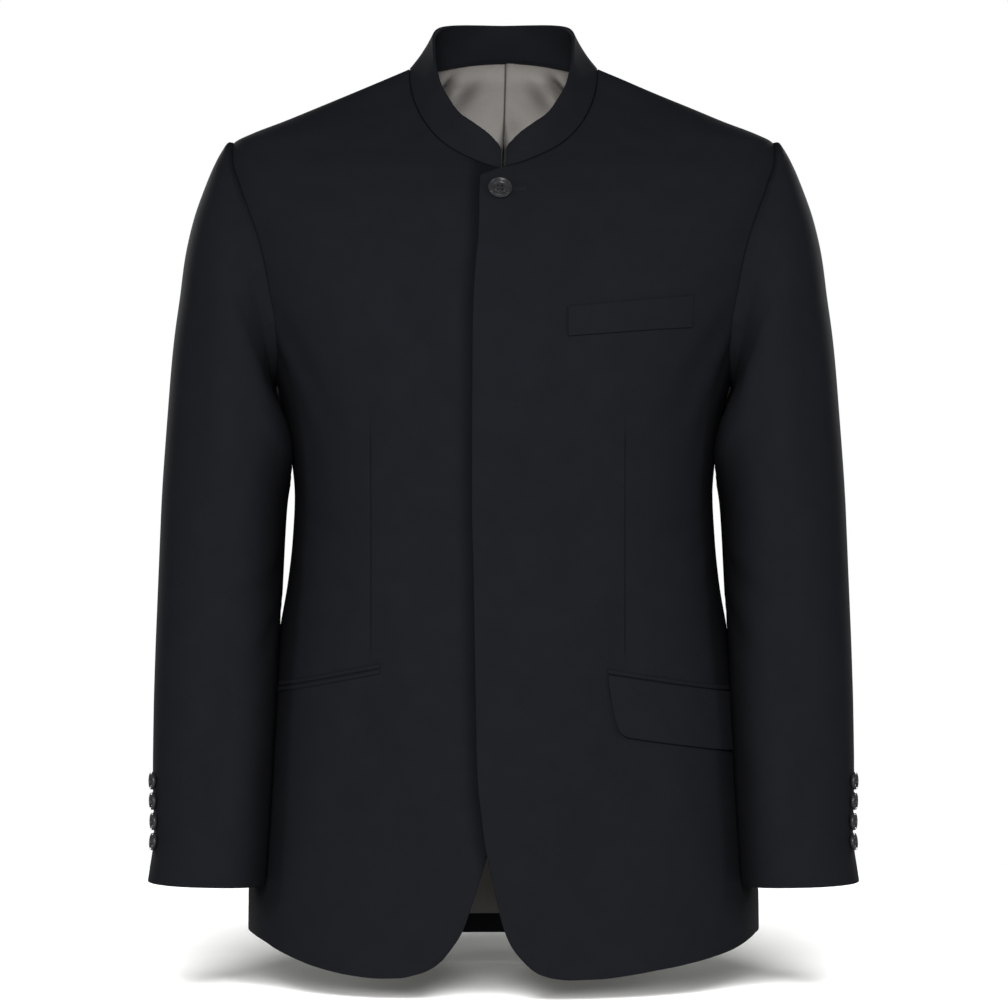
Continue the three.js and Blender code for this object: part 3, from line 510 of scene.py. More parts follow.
def sleeve_ring(ring, angle):
    line = {name: read(ring) for name, read in sleeve_line.items()}
    c, s = cosd(angle), sind(angle)
    corner = np.where((angle > 90) & (angle < 180), 2 / line["full"], 1)
    swing = 0.5 * np.sign(c) * np.abs(c) ** corner
    x = (line["outX"] + line["inX"]) / 2 + (line["outX"] - line["inX"]) * swing
    z = (line["outZ"] + line["inZ"]) / 2 + (line["outZ"] - line["inZ"]) * swing
    y = line["middle"] - line["depth"] * np.sign(s) * np.abs(s) ** corner
    return np.stack([x, y, z], -1)


def sleeve(ring, angle):
    """The left sleeve's outer surface. Ring 0 is the armhole itself."""
    ring, angle = np.broadcast_arrays(np.asarray(ring, float), np.asarray(angle, float) % 360)
    keeps, clear = sleeve_line["keeps"](ring), sleeve_line["clear"](ring)
    held = body(*armhole(angle)) - sleeve_ring(np.zeros_like(ring), angle)
    points = sleeve_ring(ring, angle) + keeps[..., None] * held
    least = body_reach(points[..., 1], points[..., 2]) + clear
    pushed = np.maximum(points[..., 0], least) - points[..., 0]
    points[..., 0] += pushed * ease(ring)
    return points


def stops(length, step=CLOTH_STEP, first=True, last=True, line=None):
    """Shares along a length, closer together at its seams and beside a sewn line."""
    regular = np.linspace(0, length, max(3, round(length / step) + 1))
    close = list(EDGE_STOPS) if first else [0]
    close += [length - stop for stop in EDGE_STOPS] if last else [length]
    if line is not None:
        close += [line * length + stop for stop in LINE_STOPS]
    kept = [at for at in regular if min(abs(at - other) for other in close) > step * LEAST_GAP]
    return np.unique(np.round(close + kept, 6)) / length


def shoulder_and_armhole(top):
    """Row numbers along the shoulder seam and then down the armhole."""
    return np.concatenate([np.linspace(top, SHOULDER_TIP, ROWS_TO_SHOULDER),
                           np.linspace(SHOULDER_TIP, UNDERARM_ROW, ROWS_TO_UNDERARM)[1:]])


def seam_and_armhole(t, side):
    """The level and turn where each row meets the shoulder seam or the armhole: side 1 for a
    front, and -1 for a back."""
    arm_level, arm_turn = armhole(side * np.maximum(t - SHOULDER_TIP, 0) * ROW_TURN % 360)
    on_seam = t < SHOULDER_TIP
    return (np.where(on_seam, -SHOULDER_DROP * t / SHOULDER_TIP, arm_level),
            np.where(on_seam, 90, arm_turn))


def underarm_to_hip():
    return np.linspace(UNDERARM, LAST_STRAIGHT, ROWS_TO_HIP)[1:]


def front_places(edge, hem, corner_level, dart):
    """The level and turn of each point of a front, in rows from the neck point down."""
    shares = stops(FRONT_WIDTH, line=DART_SHARE)
    t = shoulder_and_armhole(SEAM_START)
    neck_angle = np.interp(t, range(NECK_ENDS + 1), COLLAR_TOP["turn"][NECK_ENDS::-1])
    necks = neck_level(neck_angle)
    down_edge = np.clip((t - CORNER_ROW) / (UNDERARM_ROW - CORNER_ROW), 0, 1)
    edge_level = lerp(corner_level, UNDERARM, down_edge)
    corner_turn = turn_at(edge(corner_level), corner_level)
    on_neck, past_neck = t <= NECK_ENDS, t - NECK_ENDS
    from_level = np.where(on_neck, necks, lerp(neck_level(90), corner_level, past_neck))
    from_turn = np.where(on_neck, turn_at(NECK_HALF_WIDTH * cosd(neck_angle), necks),
                         lerp(0, corner_turn, past_neck))
    from_level = np.where(t > CORNER_ROW, edge_level, from_level)
    from_turn = np.where(t > CORNER_ROW, turn_at(edge(edge_level), edge_level), from_turn)
    to_level, to_turn = seam_and_armhole(t, 1)
    levels = underarm_to_hip()
    from_level, to_level = (np.concatenate([part, levels]) for part in (from_level, to_level))
    from_turn = np.concatenate([from_turn, turn_at(edge(levels), levels)])
    to_turn = np.concatenate([to_turn, side_front_seam(levels)])
    # The columns are drawn along so that one of them follows the dart.
    held = np.clip(to_level, DART_END, DART_TOP)
    aim = (turn_at(dart, held) - from_turn) / (to_turn - from_turn)
    aim = np.where(to_level < UNDERARM, aim, aim[len(t)])
    rows = np.concatenate([t, np.full(len(levels), UNDERARM_ROW)])
    taken = ease((rows - NECK_ENDS) / (UNDERARM_ROW - NECK_ENDS))
    bend = lerp(DART_SHARE, aim, taken)[:, None]
    across = np.where(shares < DART_SHARE, shares * bend / DART_SHARE,
                      1 - (1 - shares) * (1 - bend) / (1 - DART_SHARE))
    level = lerp(from_level[:, None], to_level[:, None], across)
    turn = lerp(from_turn[:, None], to_turn[:, None], across)
    low_level, low_turn = front_corner(edge, hem, across[-1], level[-1], turn[-1])
    return np.vstack([level, low_level]), np.vstack([turn, low_turn])


def front_corner(edge, hem, across, top_level, top_turn):
    """Below the hip the rows bend into the rounded corner of the front edge."""
    down = stops(HIP_LENGTH, first=False)[1:, None]
    outline = LEFT_HEM if edge is left_edge else RIGHT_HEM
    start = outline["across"][0]
    corner_level, side_turn = hem(start), side_front_seam(LAST_STRAIGHT)
    corner_turn = turn_at(start, corner_level)
    bottom_turn = lerp(corner_turn, side_turn, across ** HEM_CROWDING)
    bottom_level = hem(body_width(BACK_HEM) * sind(bottom_turn))
    first_level = lerp(LAST_STRAIGHT, corner_level, down)
    first_turn = turn_at(edge(first_level), first_level)
    last_level = lerp(LAST_STRAIGHT, back_hem(side_turn), down)
    corners_level = lerp(lerp(top_level[0], top_level[-1], across),
                         lerp(bottom_level[0], bottom_level[-1], across), down)
    corners_turn = lerp(lerp(top_turn[0], top_turn[-1], across),
                        lerp(bottom_turn[0], bottom_turn[-1], across), down)
    level = lerp(first_level, last_level, across) + lerp(top_level, bottom_level, down) - corners_level
    turn = lerp(first_turn, side_turn, across) + lerp(top_turn, bottom_turn, down) - corners_turn
    return level, turn


def back_places(shares, hem_rise=0, top=SEAM_START):
    """The level and turn of each point of half the back, from the neck point down."""
    t = shoulder_and_armhole(top)
    levels = underarm_to_hip()
    down_back = np.maximum(t - BACK_NECK_ENDS, 0) / (UNDERARM_ROW - BACK_NECK_ENDS)
    from_level = np.concatenate([lerp(0, UNDERARM, down_back ** BACK_CROWDING), levels])
    round_neck = np.minimum(90 + 90 / BACK_NECK_ENDS * t, 180)
    from_turn = np.concatenate([round_neck, np.full(len(levels), 180)])
    arm_level, arm_turn = seam_and_armhole(t, -1)
    to_level = np.concatenate([arm_level, levels])
    to_turn = np.concatenate([arm_turn, side_back_seam(levels)])
    level = lerp(from_level[:, None], to_level[:, None], shares)
    turn = lerp(from_turn[:, None], to_turn[:, None], shares)
    down = stops(HIP_LENGTH, first=False)[1:, None]
    low_turn = np.repeat(turn[-1:], len(down), 0)
    low_level = lerp(LAST_STRAIGHT, back_hem(low_turn) + hem_rise, down)
    return np.vstack([level, low_level]), np.vstack([turn, low_turn])


def side_places():
    """The level and turn of each point of a side body, from the underarm down."""
    shares = stops(SIDE_WIDTH)
    top_level, top_turn = armhole(lerp(UNDERARM_ANGLE, 360 - UNDERARM_ANGLE, shares))
    down = stops(UNDERARM - LAST_STRAIGHT, last=False)[:, None]
    level = lerp(UNDERARM, LAST_STRAIGHT, down)
    sag = np.interp(-level, (-UNDERARM, -SIDE_SAG_MID, -SIDE_SAG_ENDS), (1, SIDE_SAG_SHARE, 0))
    turn = lerp(side_front_seam(level), side_back_seam(level), shares)
    near_top = np.clip((level - SIDE_SAG_MID) / (UNDERARM - SIDE_SAG_MID), 0, 1)
    turn = turn + near_top * (top_turn - turn[0])
    level = level + sag * (top_level - UNDERARM)
    low = stops(HIP_LENGTH, first=False)[1:, None]
    low_turn = np.repeat(turn[-1:], len(low), 0)
    low_level = lerp(LAST_STRAIGHT, back_hem(low_turn), low)
    return np.vstack([level, low_level]), np.vstack([turn, low_turn])


def from_border(points, side):
    """How far a piece's points are from one of its borders, worked out only near it."""
    turned = {"first": points, "last": points[:, ::-1], "top": points.transpose(1, 0, 2),
              "bottom": points[::-1].transpose(1, 0, 2)}[side]
    near = turned[:, :NEAR_BORDER]
    count = len(turned)
    away = np.full(turned.shape[:2], FAR)
    for shift in range(-NEAR_BORDER, NEAR_BORDER + 1):
        k = np.clip(np.arange(count) + shift, 0, count - 2)
        start, along = near[k, 0], near[k + 1, 0] - near[k, 0]
        reach = ((near - start[:, None]) * along[:, None]).sum(-1)
        share = np.clip(reach / np.maximum((along ** 2).sum(-1), 1e-9)[:, None], 0, 1)
        foot = start[:, None] + share[..., None] * along[:, None]
        gap = np.linalg.norm(near - foot, axis=-1)
        away[:, :NEAR_BORDER] = np.minimum(away[:, :NEAR_BORDER], gap)
    return {"first": away, "last": away[:, ::-1], "top": away.T, "bottom": away.T[::-1]}[side]


def fold_depths(points, folds, surface):
    """How far the listed folds move each point out, in millimetres."""
    moved = np.zeros(points.shape[:-1])
    along = np.linspace(0, 1, FOLD_PIECES)
    names = [folds[name] for name in FOLDS]
    for start, at, middle, mid_at, end, end_at, depth, width in zip(*names):
        first = (1 - along) ** 2 * start + along ** 2 * end
        second = (1 - along) ** 2 * at + along ** 2 * end_at
        bow = 2 * along * (1 - along)
        first = first + bow * (2 * middle - (start + end) / 2)
        second = second + bow * (2 * mid_at - (at + end_at) / 2)
        line = surface(first, second)
        best = np.full(moved.shape, FAR)
        share = np.zeros(moved.shape)
        for k in range(len(line) - 1):
            step = line[k + 1] - line[k]
            t = np.clip((points - line[k]) @ step / (step @ step), 0, 1)
            gap = np.linalg.norm(points - line[k] - t[..., None] * step, axis=-1)
            share = np.where(gap < best, (k + t) / (len(line) - 1), share)
            best = np.minimum(best, gap)
        q = best / (width * lerp(*FOLD_WIDENS, share))
        swell = np.sin(np.pi * np.clip(share, 0, 1) ** FOLD_SKEW) ** FOLD_FADE
        moved += depth * swell * (1 - FOLD_DIP * q * q) * np.exp(-q * q / 2)
    return moved


def ripple(points):
    """A very slight unevenness all over, the same on both sides of every seam."""
    x, y, z = np.moveaxis(points, -1, 0)
    wave = np.sin(x / 31 + 0.7) * np.sin(z / 47 + 0.4) + 0.6 * np.sin(y / 23 + z / 39)
    return RIPPLE * wave + FINE_RIPPLE * np.sin(x / 13 - z / 21)


def worn_body(surface, level, turn):
    """The body's surface with its folds: the moved points, normals and how far they moved."""
    points, normals = surface(level, turn), normal_of(surface, level, turn)
    moved = fold_depths(points, BODY_FOLDS, body) + ripple(points)
    return points + normals * moved[..., None], normals, moved


def rolled(distance, radius):
    """How deep a piece's edge rolls in, at a distance from it."""
    left = np.clip(radius - distance, 0, radius)
    return radius - np.sqrt(radius * radius - left * left)


def grid_normals(points):
    across = np.gradient(points, axis=1)
    down = np.gradient(points, axis=0)
    return unit(np.cross(across, -down))


def cloth_map(points):
    """Lengths along the cloth in metres, across and up, for the weave to follow."""
    across = np.zeros(points.shape[:2])
    across[:, 1:] = np.cumsum(np.linalg.norm(np.diff(points, axis=1), axis=-1), 1)
    middle = points.shape[1] // 2
    across -= across[:, middle:middle + 1]
    up = np.zeros(points.shape[:2])
    up[1:] = -np.cumsum(np.linalg.norm(np.diff(points, axis=0), axis=-1), 0)
    up -= up[-1:]
    return np.stack([across, up], -1) * MM


def quad_area(points):
    """The area of a grid of points in square metres."""
    one, two = points[1:, 1:] - points[:-1, :-1], points[1:, :-1] - points[:-1, 1:]
    return float(np.linalg.norm(np.cross(one, two), axis=-1).sum()) / 2 * MM * MM


def shell(name, outer, inner, marks, inside=None):
    """A closed wall of cloth between two grids of points. `inside` says where its inner
    side is faced with the outer cloth, and elsewhere that side takes the second material."""
    rows, columns = outer.shape[:2]
    form = bmesh.new()
    bmesh.ops.create_grid(form, x_segments=columns - 1, y_segments=rows - 1, size=1)
    cell = form.verts.layers.int.new("cell")
    for vert in form.verts:
        row = round((1 - vert.co.y) / 2 * (rows - 1))
        column = round((vert.co.x + 1) / 2 * (columns - 1))
        vert[cell] = row * columns + column
    first = form.faces[:]
    made = bmesh.ops.extrude_face_region(form, geom=first, use_keep_orig=True)
    lifted = {vert for vert in made["geom"] if isinstance(vert, bmesh.types.BMVert)}
    outside, within = outer.reshape(-1, 3) * MM, inner.reshape(-1, 3) * MM
    for vert in form.verts:
        vert.co = (outside if vert in lifted else within)[vert[cell]]
    if inside is not None:
        for face in first:
            row, column = divmod(min(vert[cell] for vert in face.verts), columns)
            face.material_index = 0 if inside[row, column] else 1
    bmesh.ops.recalc_face_normals(form, faces=form.faces)
    if form.calc_volume(signed=True) < 0:
        bmesh.ops.reverse_faces(form, faces=form.faces)
    mesh = bpy.data.meshes.new(name)
    form.to_mesh(mesh)
    form.free()
    cells = np.empty(len(mesh.vertices), np.int32)
    mesh.attributes["cell"].data.foreach_get("value", cells)
    corners = np.empty(len(mesh.loops), np.int32)
    mesh.loops.foreach_get("vertex_index", corners)
    layer = mesh.uv_layers.new(name="cloth")
    layer.data.foreach_set("uv", cloth_map(outer).reshape(-1, 2)[cells[corners]].ravel())
    for mark, values in marks.items():
        made_mark = mesh.attributes.new(mark, "FLOAT", "POINT")
        made_mark.data.foreach_set("value", np.ascontiguousarray(values).ravel()[cells])
    mesh.attributes.remove(mesh.attributes["cell"])
    mesh.shade_smooth()
    mesh.set_sharp_from_angle(angle=math.radians(52))
    return mesh


def add_piece(name, mesh, materials, nodes):
    """Links a finished mesh as a piece that rides on the body and stands for its nodes."""
    for material in materials:
        mesh.materials.append(material)
    piece = bpy.data.objects.new(name, mesh)
    bpy.context.scene.collection.objects.link(piece)
    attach(piece, "root")
    if nodes:
        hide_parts(*nodes)
    return piece


def add_cloth(name, node, outer, inner, marks, materials, inside=None):
    """A piece of cloth as a wall. The size that it was cut to is worked out here but not used."""
    mesh = shell(name, outer, inner, marks, inside)
    piece = add_piece(name, mesh, materials, [node])
    lengths = np.linalg.norm(np.diff(outer, axis=1), axis=-1).sum(1) * MM
    drops = np.linalg.norm(np.diff(outer, axis=0), axis=-1).sum(0) * MM
    width, length = max(LEAST_SIDE, float(lengths.max())), max(LEAST_SIDE, float(drops.max()))
    area = float(np.clip(quad_area(outer), LEAST_SHARE * width * length, width * length))
    return piece


def edged(points, normals, borders):
    """Rolls a piece's borders in: its sewn seams closely, its free edges more fully. Each
    border has its sides, a radius and how strongly painted shade darkens it. Free edges get no painted
    shade."""
    seam = np.zeros(points.shape[:2])
    for sides, radius, strength in borders:
        away = np.full(points.shape[:2], FAR)
        for side in sides:
            away = np.minimum(away, from_border(points, side))
        radius = radius / MM
        points = points - normals * rolled(away, radius)[..., None]
        seam = np.maximum(seam, strength * np.exp(-(away / (radius * SEAM_SHADE_WIDTH)) ** 2))
    return points, {"seam": seam, "fold": np.zeros(points.shape[:2])}


def between(value, starts, full, fades, ends):
    """A share that eases from 0 to 1 over one stretch and back to 0 over another."""
    return ease((value - starts) / (full - starts)) * ease((ends - value) / (ends - fades))


def fold_shade(depth):
    """How much painted shade darkens the wool in a trough of a depth in millimetres."""
    return np.clip(-depth / FOLD_FULL_SHADE, 0, 1)


def body_shade(points, level, turn, side):
    """How much painted shade darkens a panel where cloth lies close to it: beside a sleeve, under the lap.
    """
    beside = between(np.abs(turn), *BESIDE_TURNS) * between(-level, *BESIDE_DROPS)
    under = np.exp(-(np.maximum(0, left_edge(level) - points[..., 0]) / LAP_SHADE_REACH) ** 2)
    ahead = (points[..., 1] < 0) & (side < 0)
    return np.maximum(BESIDE_SLEEVE * beside, np.where(ahead, UNDER_LAP * under, 0))


def sleeve_shade(ring, angle):
    """How much painted shade darkens a sleeve on the side that lies against the body."""
    below = ease((ring - INNER_FROM_RING) / INNER_OVER_RINGS)
    return INNER_SLEEVE * between(angle, *INNER_ANGLES) * below


def body_panel(name, node, places, surface, side, seams, edges, context,
               dart=None, faced=None):
    """One cut panel of the body."""
    sizes, wool, lining = context.scene.blazer_sizes, wool_cloth(), lining_cloth()
    level, turn = places[0], places[1] * side
    points, normals, depth = worn_body(surface, level, turn)
    flat = points
    inner = points - normals * (sizes.cloth / MM)
    points, marks = edged(points, normals, ((seams, sizes.seam_roll, 1), (edges, sizes.edge_roll, 0)))
    # Painted shade: darker in the folds' troughs, beside the sleeves and under the lap.
    marks["fold"] = np.maximum(fold_shade(depth), body_shade(flat, level, turn, side))
    if dart is not None:
        beside = flat[..., 0] * side - dart
        sewn = ease((level - DART_END) / DART_FADES[0]) * ease((DART_TOP - level) / DART_FADES[1])
        near = np.exp(-(beside / DART_WIDTH) ** 2) * sewn * (flat[..., 1] < 0)
        points = points - normals * (DART_GROOVE * near)[..., None]
        # The dart's line is darkened with painted shade as well as grooved.
        marks["seam"] = np.maximum(marks["seam"], near)
    inside = faced(level, flat[..., 0] * side) if faced else None
    return add_cloth(name, node, points, inner, marks, [wool, lining],
                     inside)


def front_facing(edge):
    """Where a front is faced with its own cloth inside: beside its edge and at its hem."""
    def faced(level, across):
        return (across < edge(level) + FACING_WIDTH) | (level < FACING_HEM) | (level > FACING_NECK)
    return faced


def hem_facing(level, across):
    """Where a back or a side body is faced with its own cloth inside: only at its hem."""
    return level < back_hem(180) + 2 * HEM_FACING


def sleeve_piece(name, node, first, last, side, folds, context):
    """One of a sleeve's two cuts, between two seams given as angles along the rings."""
    sizes, wool, lining = context.scene.blazer_sizes, wool_cloth(), lining_cloth()
    drops = np.maximum(np.abs(np.diff(SLEEVE["outZ"])), np.abs(np.diff(SLEEVE["inZ"])))
    rings = [np.linspace(k, k + 1, max(4, round(drop / CLOTH_STEP)), endpoint=False)
             for k, drop in enumerate(drops)]
    rings[0] = stops(CROWN_LENGTH, CROWN_STEP, last=False)[:-1]
    rings[-1] = LAST_RING - 1 + stops(drops[-1], first=False)[:-1]
    ring = np.append(np.concatenate(rings), LAST_RING)[:, None]
    angle = lerp(first(ring), last(ring), stops(HALF_WIDTH)[None, :])
    points = sleeve(ring, angle)
    normals = grid_normals(points)
    middle = sleeve(ring, np.zeros_like(ring)) / 2 + sleeve(ring, np.full_like(ring, 180)) / 2
    if ((points - middle) * normals).sum() < 0:
        normals = -normals
    # At the armhole the sleeve takes the body's own direction and folds, so the seam closes.
    level, turn = armhole(angle % 360)
    held, held_out, _ = worn_body(body, level, turn)
    shift = held - body(level, turn)
    normals = unit(lerp(held_out, normals, ease(ring)[..., None]))
    moved = (fold_depths(points, folds, sleeve) + ripple(points)) * ease(ring / FOLDS_BEGIN_OVER)
    points = points + normals * moved[..., None] + sleeve_line["keeps"](ring)[..., None] * shift
    inner = points - normals * (sizes.cloth / MM)
    points, marks = edged(points, normals, (
        (("top",), sizes.seam_roll, 1),
        (("first", "last"), sizes.seam_roll * SLEEVE_SEAM_ROLL, SLEEVE_SEAM_SHADE),
        (("bottom",), sizes.edge_roll, 0)))
    # Painted shade: darker in the folds' troughs and on the side against the body.
    marks["fold"] = np.maximum(fold_shade(moved), sleeve_shade(ring, angle))
    inside = points[..., 2] < CUFF_FACING
    for grid in (points, inner):
        grid[..., 0] *= side
    return add_cloth(name, node, points, inner, marks, [wool, lining],
                     inside)


def neckline(turn, side):
    """The neckline's points, at the collar's own turns."""
    surface = left_front if side > 0 else body
    angle = np.clip(turn, 0, COLLAR_LAST_TURN)
    level = neck_level(angle)
    ahead = surface(level, side * turn_at(NECK_HALF_WIDTH * cosd(angle), level))
    behind = body(np.zeros_like(turn), side * (90 - turn))
    return np.where((turn >= 0)[..., None], ahead, behind)


def build_collar(context):
    """The standing band, with its corners rounded and its lower edge tucked into the seam."""
    sizes, wool = context.scene.blazer_sizes, wool_cloth()
    half = stops(BAND_LENGTH, last=False)
    turns = np.concatenate([90 - 180 * half, (90 - 180 * half)[-2::-1]])
    sides = np.where(np.arange(len(turns)) < len(half), 1, -1)
    top = np.stack([collar_top["x"](turns) * sides, collar_top["y"](turns), collar_top["z"](turns)], -1)
    base = np.where((sides > 0)[:, None], neckline(turns, 1), neckline(turns, -1))
    up = unit(top - base)
    along = np.append(0, np.cumsum(np.linalg.norm(np.diff(top, axis=0), axis=-1)))
    top = top - up * rolled(np.minimum(along, along[-1] - along), COLLAR_CORNER)[:, None]
    base = base + up * COLLAR_LIFT
    down = stops(BAND_HEIGHT, BAND_STEP)[:, None, None]
    points = lerp(top[None], base[None], down)
    share = 1 - down[..., 0]
    out = unit(points * (1, 1, 0) - (0, COLLAR_CENTRE, 0))
    # The band swells a little in front and behind, and hollows over the shoulders.
    swell = lerp(COLLAR_BULGE, COLLAR_HOLLOW, cosd(turns) ** 4)
    bulge = swell * 4 * share * (1 - share) * ease((top[:, 2] - COLLAR_CREST) / COLLAR_SWELLS_OVER)
    points = points + out * bulge[..., None]
    normals = grid_normals(points)
    if (normals * out).sum() < 0:
        normals = -normals
    points = points + normals * ripple(points)[..., None] * COLLAR_RIPPLE
    inner = points - normals * (sizes.collar_cloth / MM)
    inner = inner + normals * rolled(from_border(points, "top"), COLLAR_INNER_ROLL)[..., None]
    points, marks = edged(points, normals, ((("bottom",), sizes.seam_roll, COLLAR_SEAM_SHADE),
                                            (("top", "first", "last"), sizes.edge_roll, 0)))
    for depth, sink in COLLAR_TUCK:
        moved = up * depth + out[-1] * sink
        points = np.concatenate([points, points[-1:] - moved])
        inner = np.concatenate([inner, inner[-1:] - moved])
    marks = {kind: np.pad(mark, ((0, len(COLLAR_TUCK)), (0, 0)), "edge") for kind, mark in marks.items()}
    return add_cloth("collar_band", "collar", points, inner, marks, [wool])


def lining_shade(level, turn, depth):
    """How much painted shade darkens the lining: in its hollows, behind the collar's slit and near the hem.
    """
    hollow = np.clip(-depth / LINING_FULL_SHADE, 0, LINING_MOST_SHADE)
    for middle, height, centre, width, strength in zip(*LINING_HOLLOWS.values()):
        away = ((level - middle) / height) ** 2 + ((turn % 360 - centre) / width) ** 2
        hollow = np.maximum(hollow, strength * np.exp(-away))
    slit = SLIT_SHADE * between(-level, *SLIT_DROPS)
    hem = HEM_SHADE * ease((HEM_SHADE_TOP - level) / HEM_SHADE_OVER)
    return np.clip(np.maximum(hollow, slit) + hem, 0, 1)


def build_lining(context):
    """The lining inside the back, from below the collar to the turned-up hem, in two halves
    with a pleat at the centre back."""
    sizes, lining = context.scene.blazer_sizes, lining_cloth()
    shares = stops(HALF_WIDTH, last=False)
    close = np.array(PLEAT_STOPS) / HALF_WIDTH
    shares = np.unique(np.concatenate([close, shares[shares > PLEAT_SHARE]]))
    level, half_turn = back_places(shares, hem_rise=HEM_FACING, top=LINING_TOP)
    for word, side in (("left", 1), ("right", -1)):
        turn = half_turn * side
        points, normals = body(level, turn), normal_of(body, level, turn)
        depth = fold_depths(points, LINING_FOLDS, body)
        sink = (sizes.cloth + sizes.lining_gap) / MM
        # The pleat laps one side of the lining over the other, and opens lower down.
        past = points[..., 0] - (PLEAT["x"] + PLEAT["lean"] * level)
        opens = 1 + PLEAT["opens_by"] * ease((PLEAT["opens"] - level) / PLEAT["opens_over"])
        lap = PLEAT["depth"] * ease(past / PLEAT["turns_in"] + 0.5)
        lap = lap * np.exp(-np.maximum(past, 0) / PLEAT["fades"])
        lap = lap * opens * ease((level - PLEAT["ends"]) / PLEAT["ends_over"])
        # Seen from inside, a trough goes out to the wool, so its ridges stand in from there.
        stands = LINING_EASE + np.clip(depth, -LINING_SINKS * LINING_EASE, LINING_EASE)
        settled = ease(-level / LINING_SETTLES)
        outer = points - normals * (sink + stands * settled + lap)[..., None]
        inner = outer - normals * (sizes.lining_cloth / MM)
        # Painted shade along the pleat, wider where it opens and on its under side; the fold mark carries
        # the lining's painted shade.
        width = PLEAT["shade"] * opens ** PLEAT["shade_opens"]
        width = width * np.where(past > 0, PLEAT["shade_under"], 1)
        shaded = np.exp(-(past / width) ** 2) * (level > PLEAT["ends"])
        marks = {"fold": lining_shade(level, turn, depth) * settled, "seam": shaded}
        add_cloth(f"back_lining_{word}", "lining_back", outer, inner, marks, [lining])


def applied_piece(name, node, outline, surface, side, size, lift, thickness, context, puff=0.0):
    """A flat piece on a panel, made from the panel's own surface and moved out from it."""
    sizes, wool = context.scene.blazer_sizes, wool_cloth()
    u, v = np.meshgrid(stops(size[0], TRIM_STEP), stops(size[1], min(TRIM_STEP, size[1] / TRIM_ROWS)))
    level, turn = outline(u, v)
    points, normals, _ = worn_body(surface, level, turn * side)
    raised = lift(u, v) if callable(lift) else lift
    inner = points + normals * np.broadcast_to(raised, u.shape)[..., None]
    swell = puff * np.sin(np.pi * v)
    points = inner + normals * (thickness + swell)[..., None]
    points, marks = edged(points, normals, ((("first", "last", "top", "bottom"), sizes.edge_roll, 0),))
    return add_cloth(name, node, points, inner, marks, [wool])


def pocket_line(pocket, share):
    """A place on a hip pocket's slanted line: 0 at its inner end and 1 at the side."""
    turn = lerp(turn_at(pocket["inner"], pocket["start"]), POCKET_TURN, share)
    across = body_width(pocket["start"]) * sind(turn)
    along = (across - pocket["inner"]) / (POCKET_SLOPE_TO - pocket["inner"])
    return lerp(pocket["start"], pocket["end"], along), turn


def welt_outline(u, v):
    across = lerp(WELT["start"], WELT["end"] - WELT["ends_in"] * v, u)
    top = lerp(WELT["top_start"], WELT["top_end"], u)
    level = top - v * lerp(WELT["deep_start"], WELT["deep_end"], u)
    return level, turn_at(across, level)


def jet_outline(pocket, drop):
    def outline(u, v):
        level, turn = pocket_line(pocket, u)
        return level - drop - v * JET["height"], turn
    return outline


def flap_outline(u, v):
    along = FLAP["length"] * u ** FLAP["crowding"]
    near = np.maximum(0, 1 - along / FLAP["corner"])
    depth = FLAP["depth"] - FLAP["corner"] * (1 - np.sqrt(1 - near * near))
    lean = FLAP["lean"] * v * v * (1 - u) / FLAP["length"]
    level, turn = pocket_line(LEFT_POCKET, lerp(u ** FLAP["crowding"], 1, lean))
    return level - v * depth, turn


def build_pockets(context):
    applied_piece("breast_pocket_welt", "breast_welt", welt_outline, left_front, 1, WELT_GRID,
                  LOW_LIFT, WELT["thickness"], context)
    applied_piece("hip_pocket_flap", "pocket_flap", flap_outline, left_front, 1,
                  (FLAP["length"], FLAP["depth"]),
                  lambda u, v: LOW_LIFT + FLAP["stands_out"] * v * v, FLAP["thickness"], context)
    jets = (("upper_jet_left", "jet_left", LEFT_POCKET, left_front, 1, -JET["height"] - JET["apart"]),
            ("upper_jet_right", "jet_right_upper", RIGHT_POCKET, body, -1, 0),
            ("lower_jet_right", "jet_right_lower", RIGHT_POCKET, body, -1, JET["height"] + JET["apart"]))
    for name, node, pocket, surface, side, drop in jets:
        applied_piece(name, node, jet_outline(pocket, drop), surface, side,
                      JET_GRID, LOW_LIFT, JET["thickness"], context, puff=JET["puff"])


def button_mesh(name, radius, thickness):
    """A rimmed four-hole button lying on its back at the origin, facing +Z."""
    form = bmesh.new()
    verts = [form.verts.new((r * radius, 0, h * thickness)) for r, h in BUTTON_PROFILE]
    edges = [form.edges.new(pair) for pair in zip(verts, verts[1:])]
    bmesh.ops.spin(form, geom=verts + edges, cent=(0, 0, 0), axis=(0, 0, 1), angle=2 * math.pi,
                   steps=BUTTON_TURNS, use_merge=True)
    bmesh.ops.remove_doubles(form, verts=form.verts, dist=1e-7)
    bmesh.ops.recalc_face_normals(form, faces=form.faces)
    mesh = bpy.data.meshes.new(name)
    form.to_mesh(mesh)
    form.free()
    cutter_form = bmesh.new()
    offset = radius * HOLE_OFFSET
    for x, y in ((1, 1), (1, -1), (-1, 1), (-1, -1)):
        place = Matrix.Translation((x * offset, y * offset, thickness / 2))
        bmesh.ops.create_cone(cutter_form, cap_ends=True, segments=HOLE_SIDES,
                              radius1=radius * HOLE_RADIUS, radius2=radius * HOLE_RADIUS,
                              depth=thickness * 2, matrix=place)
    cutter_mesh = bpy.data.meshes.new(name + "_holes")
    cutter_form.to_mesh(cutter_mesh)
    cutter_form.free()
    return drilled(mesh, cutter_mesh)


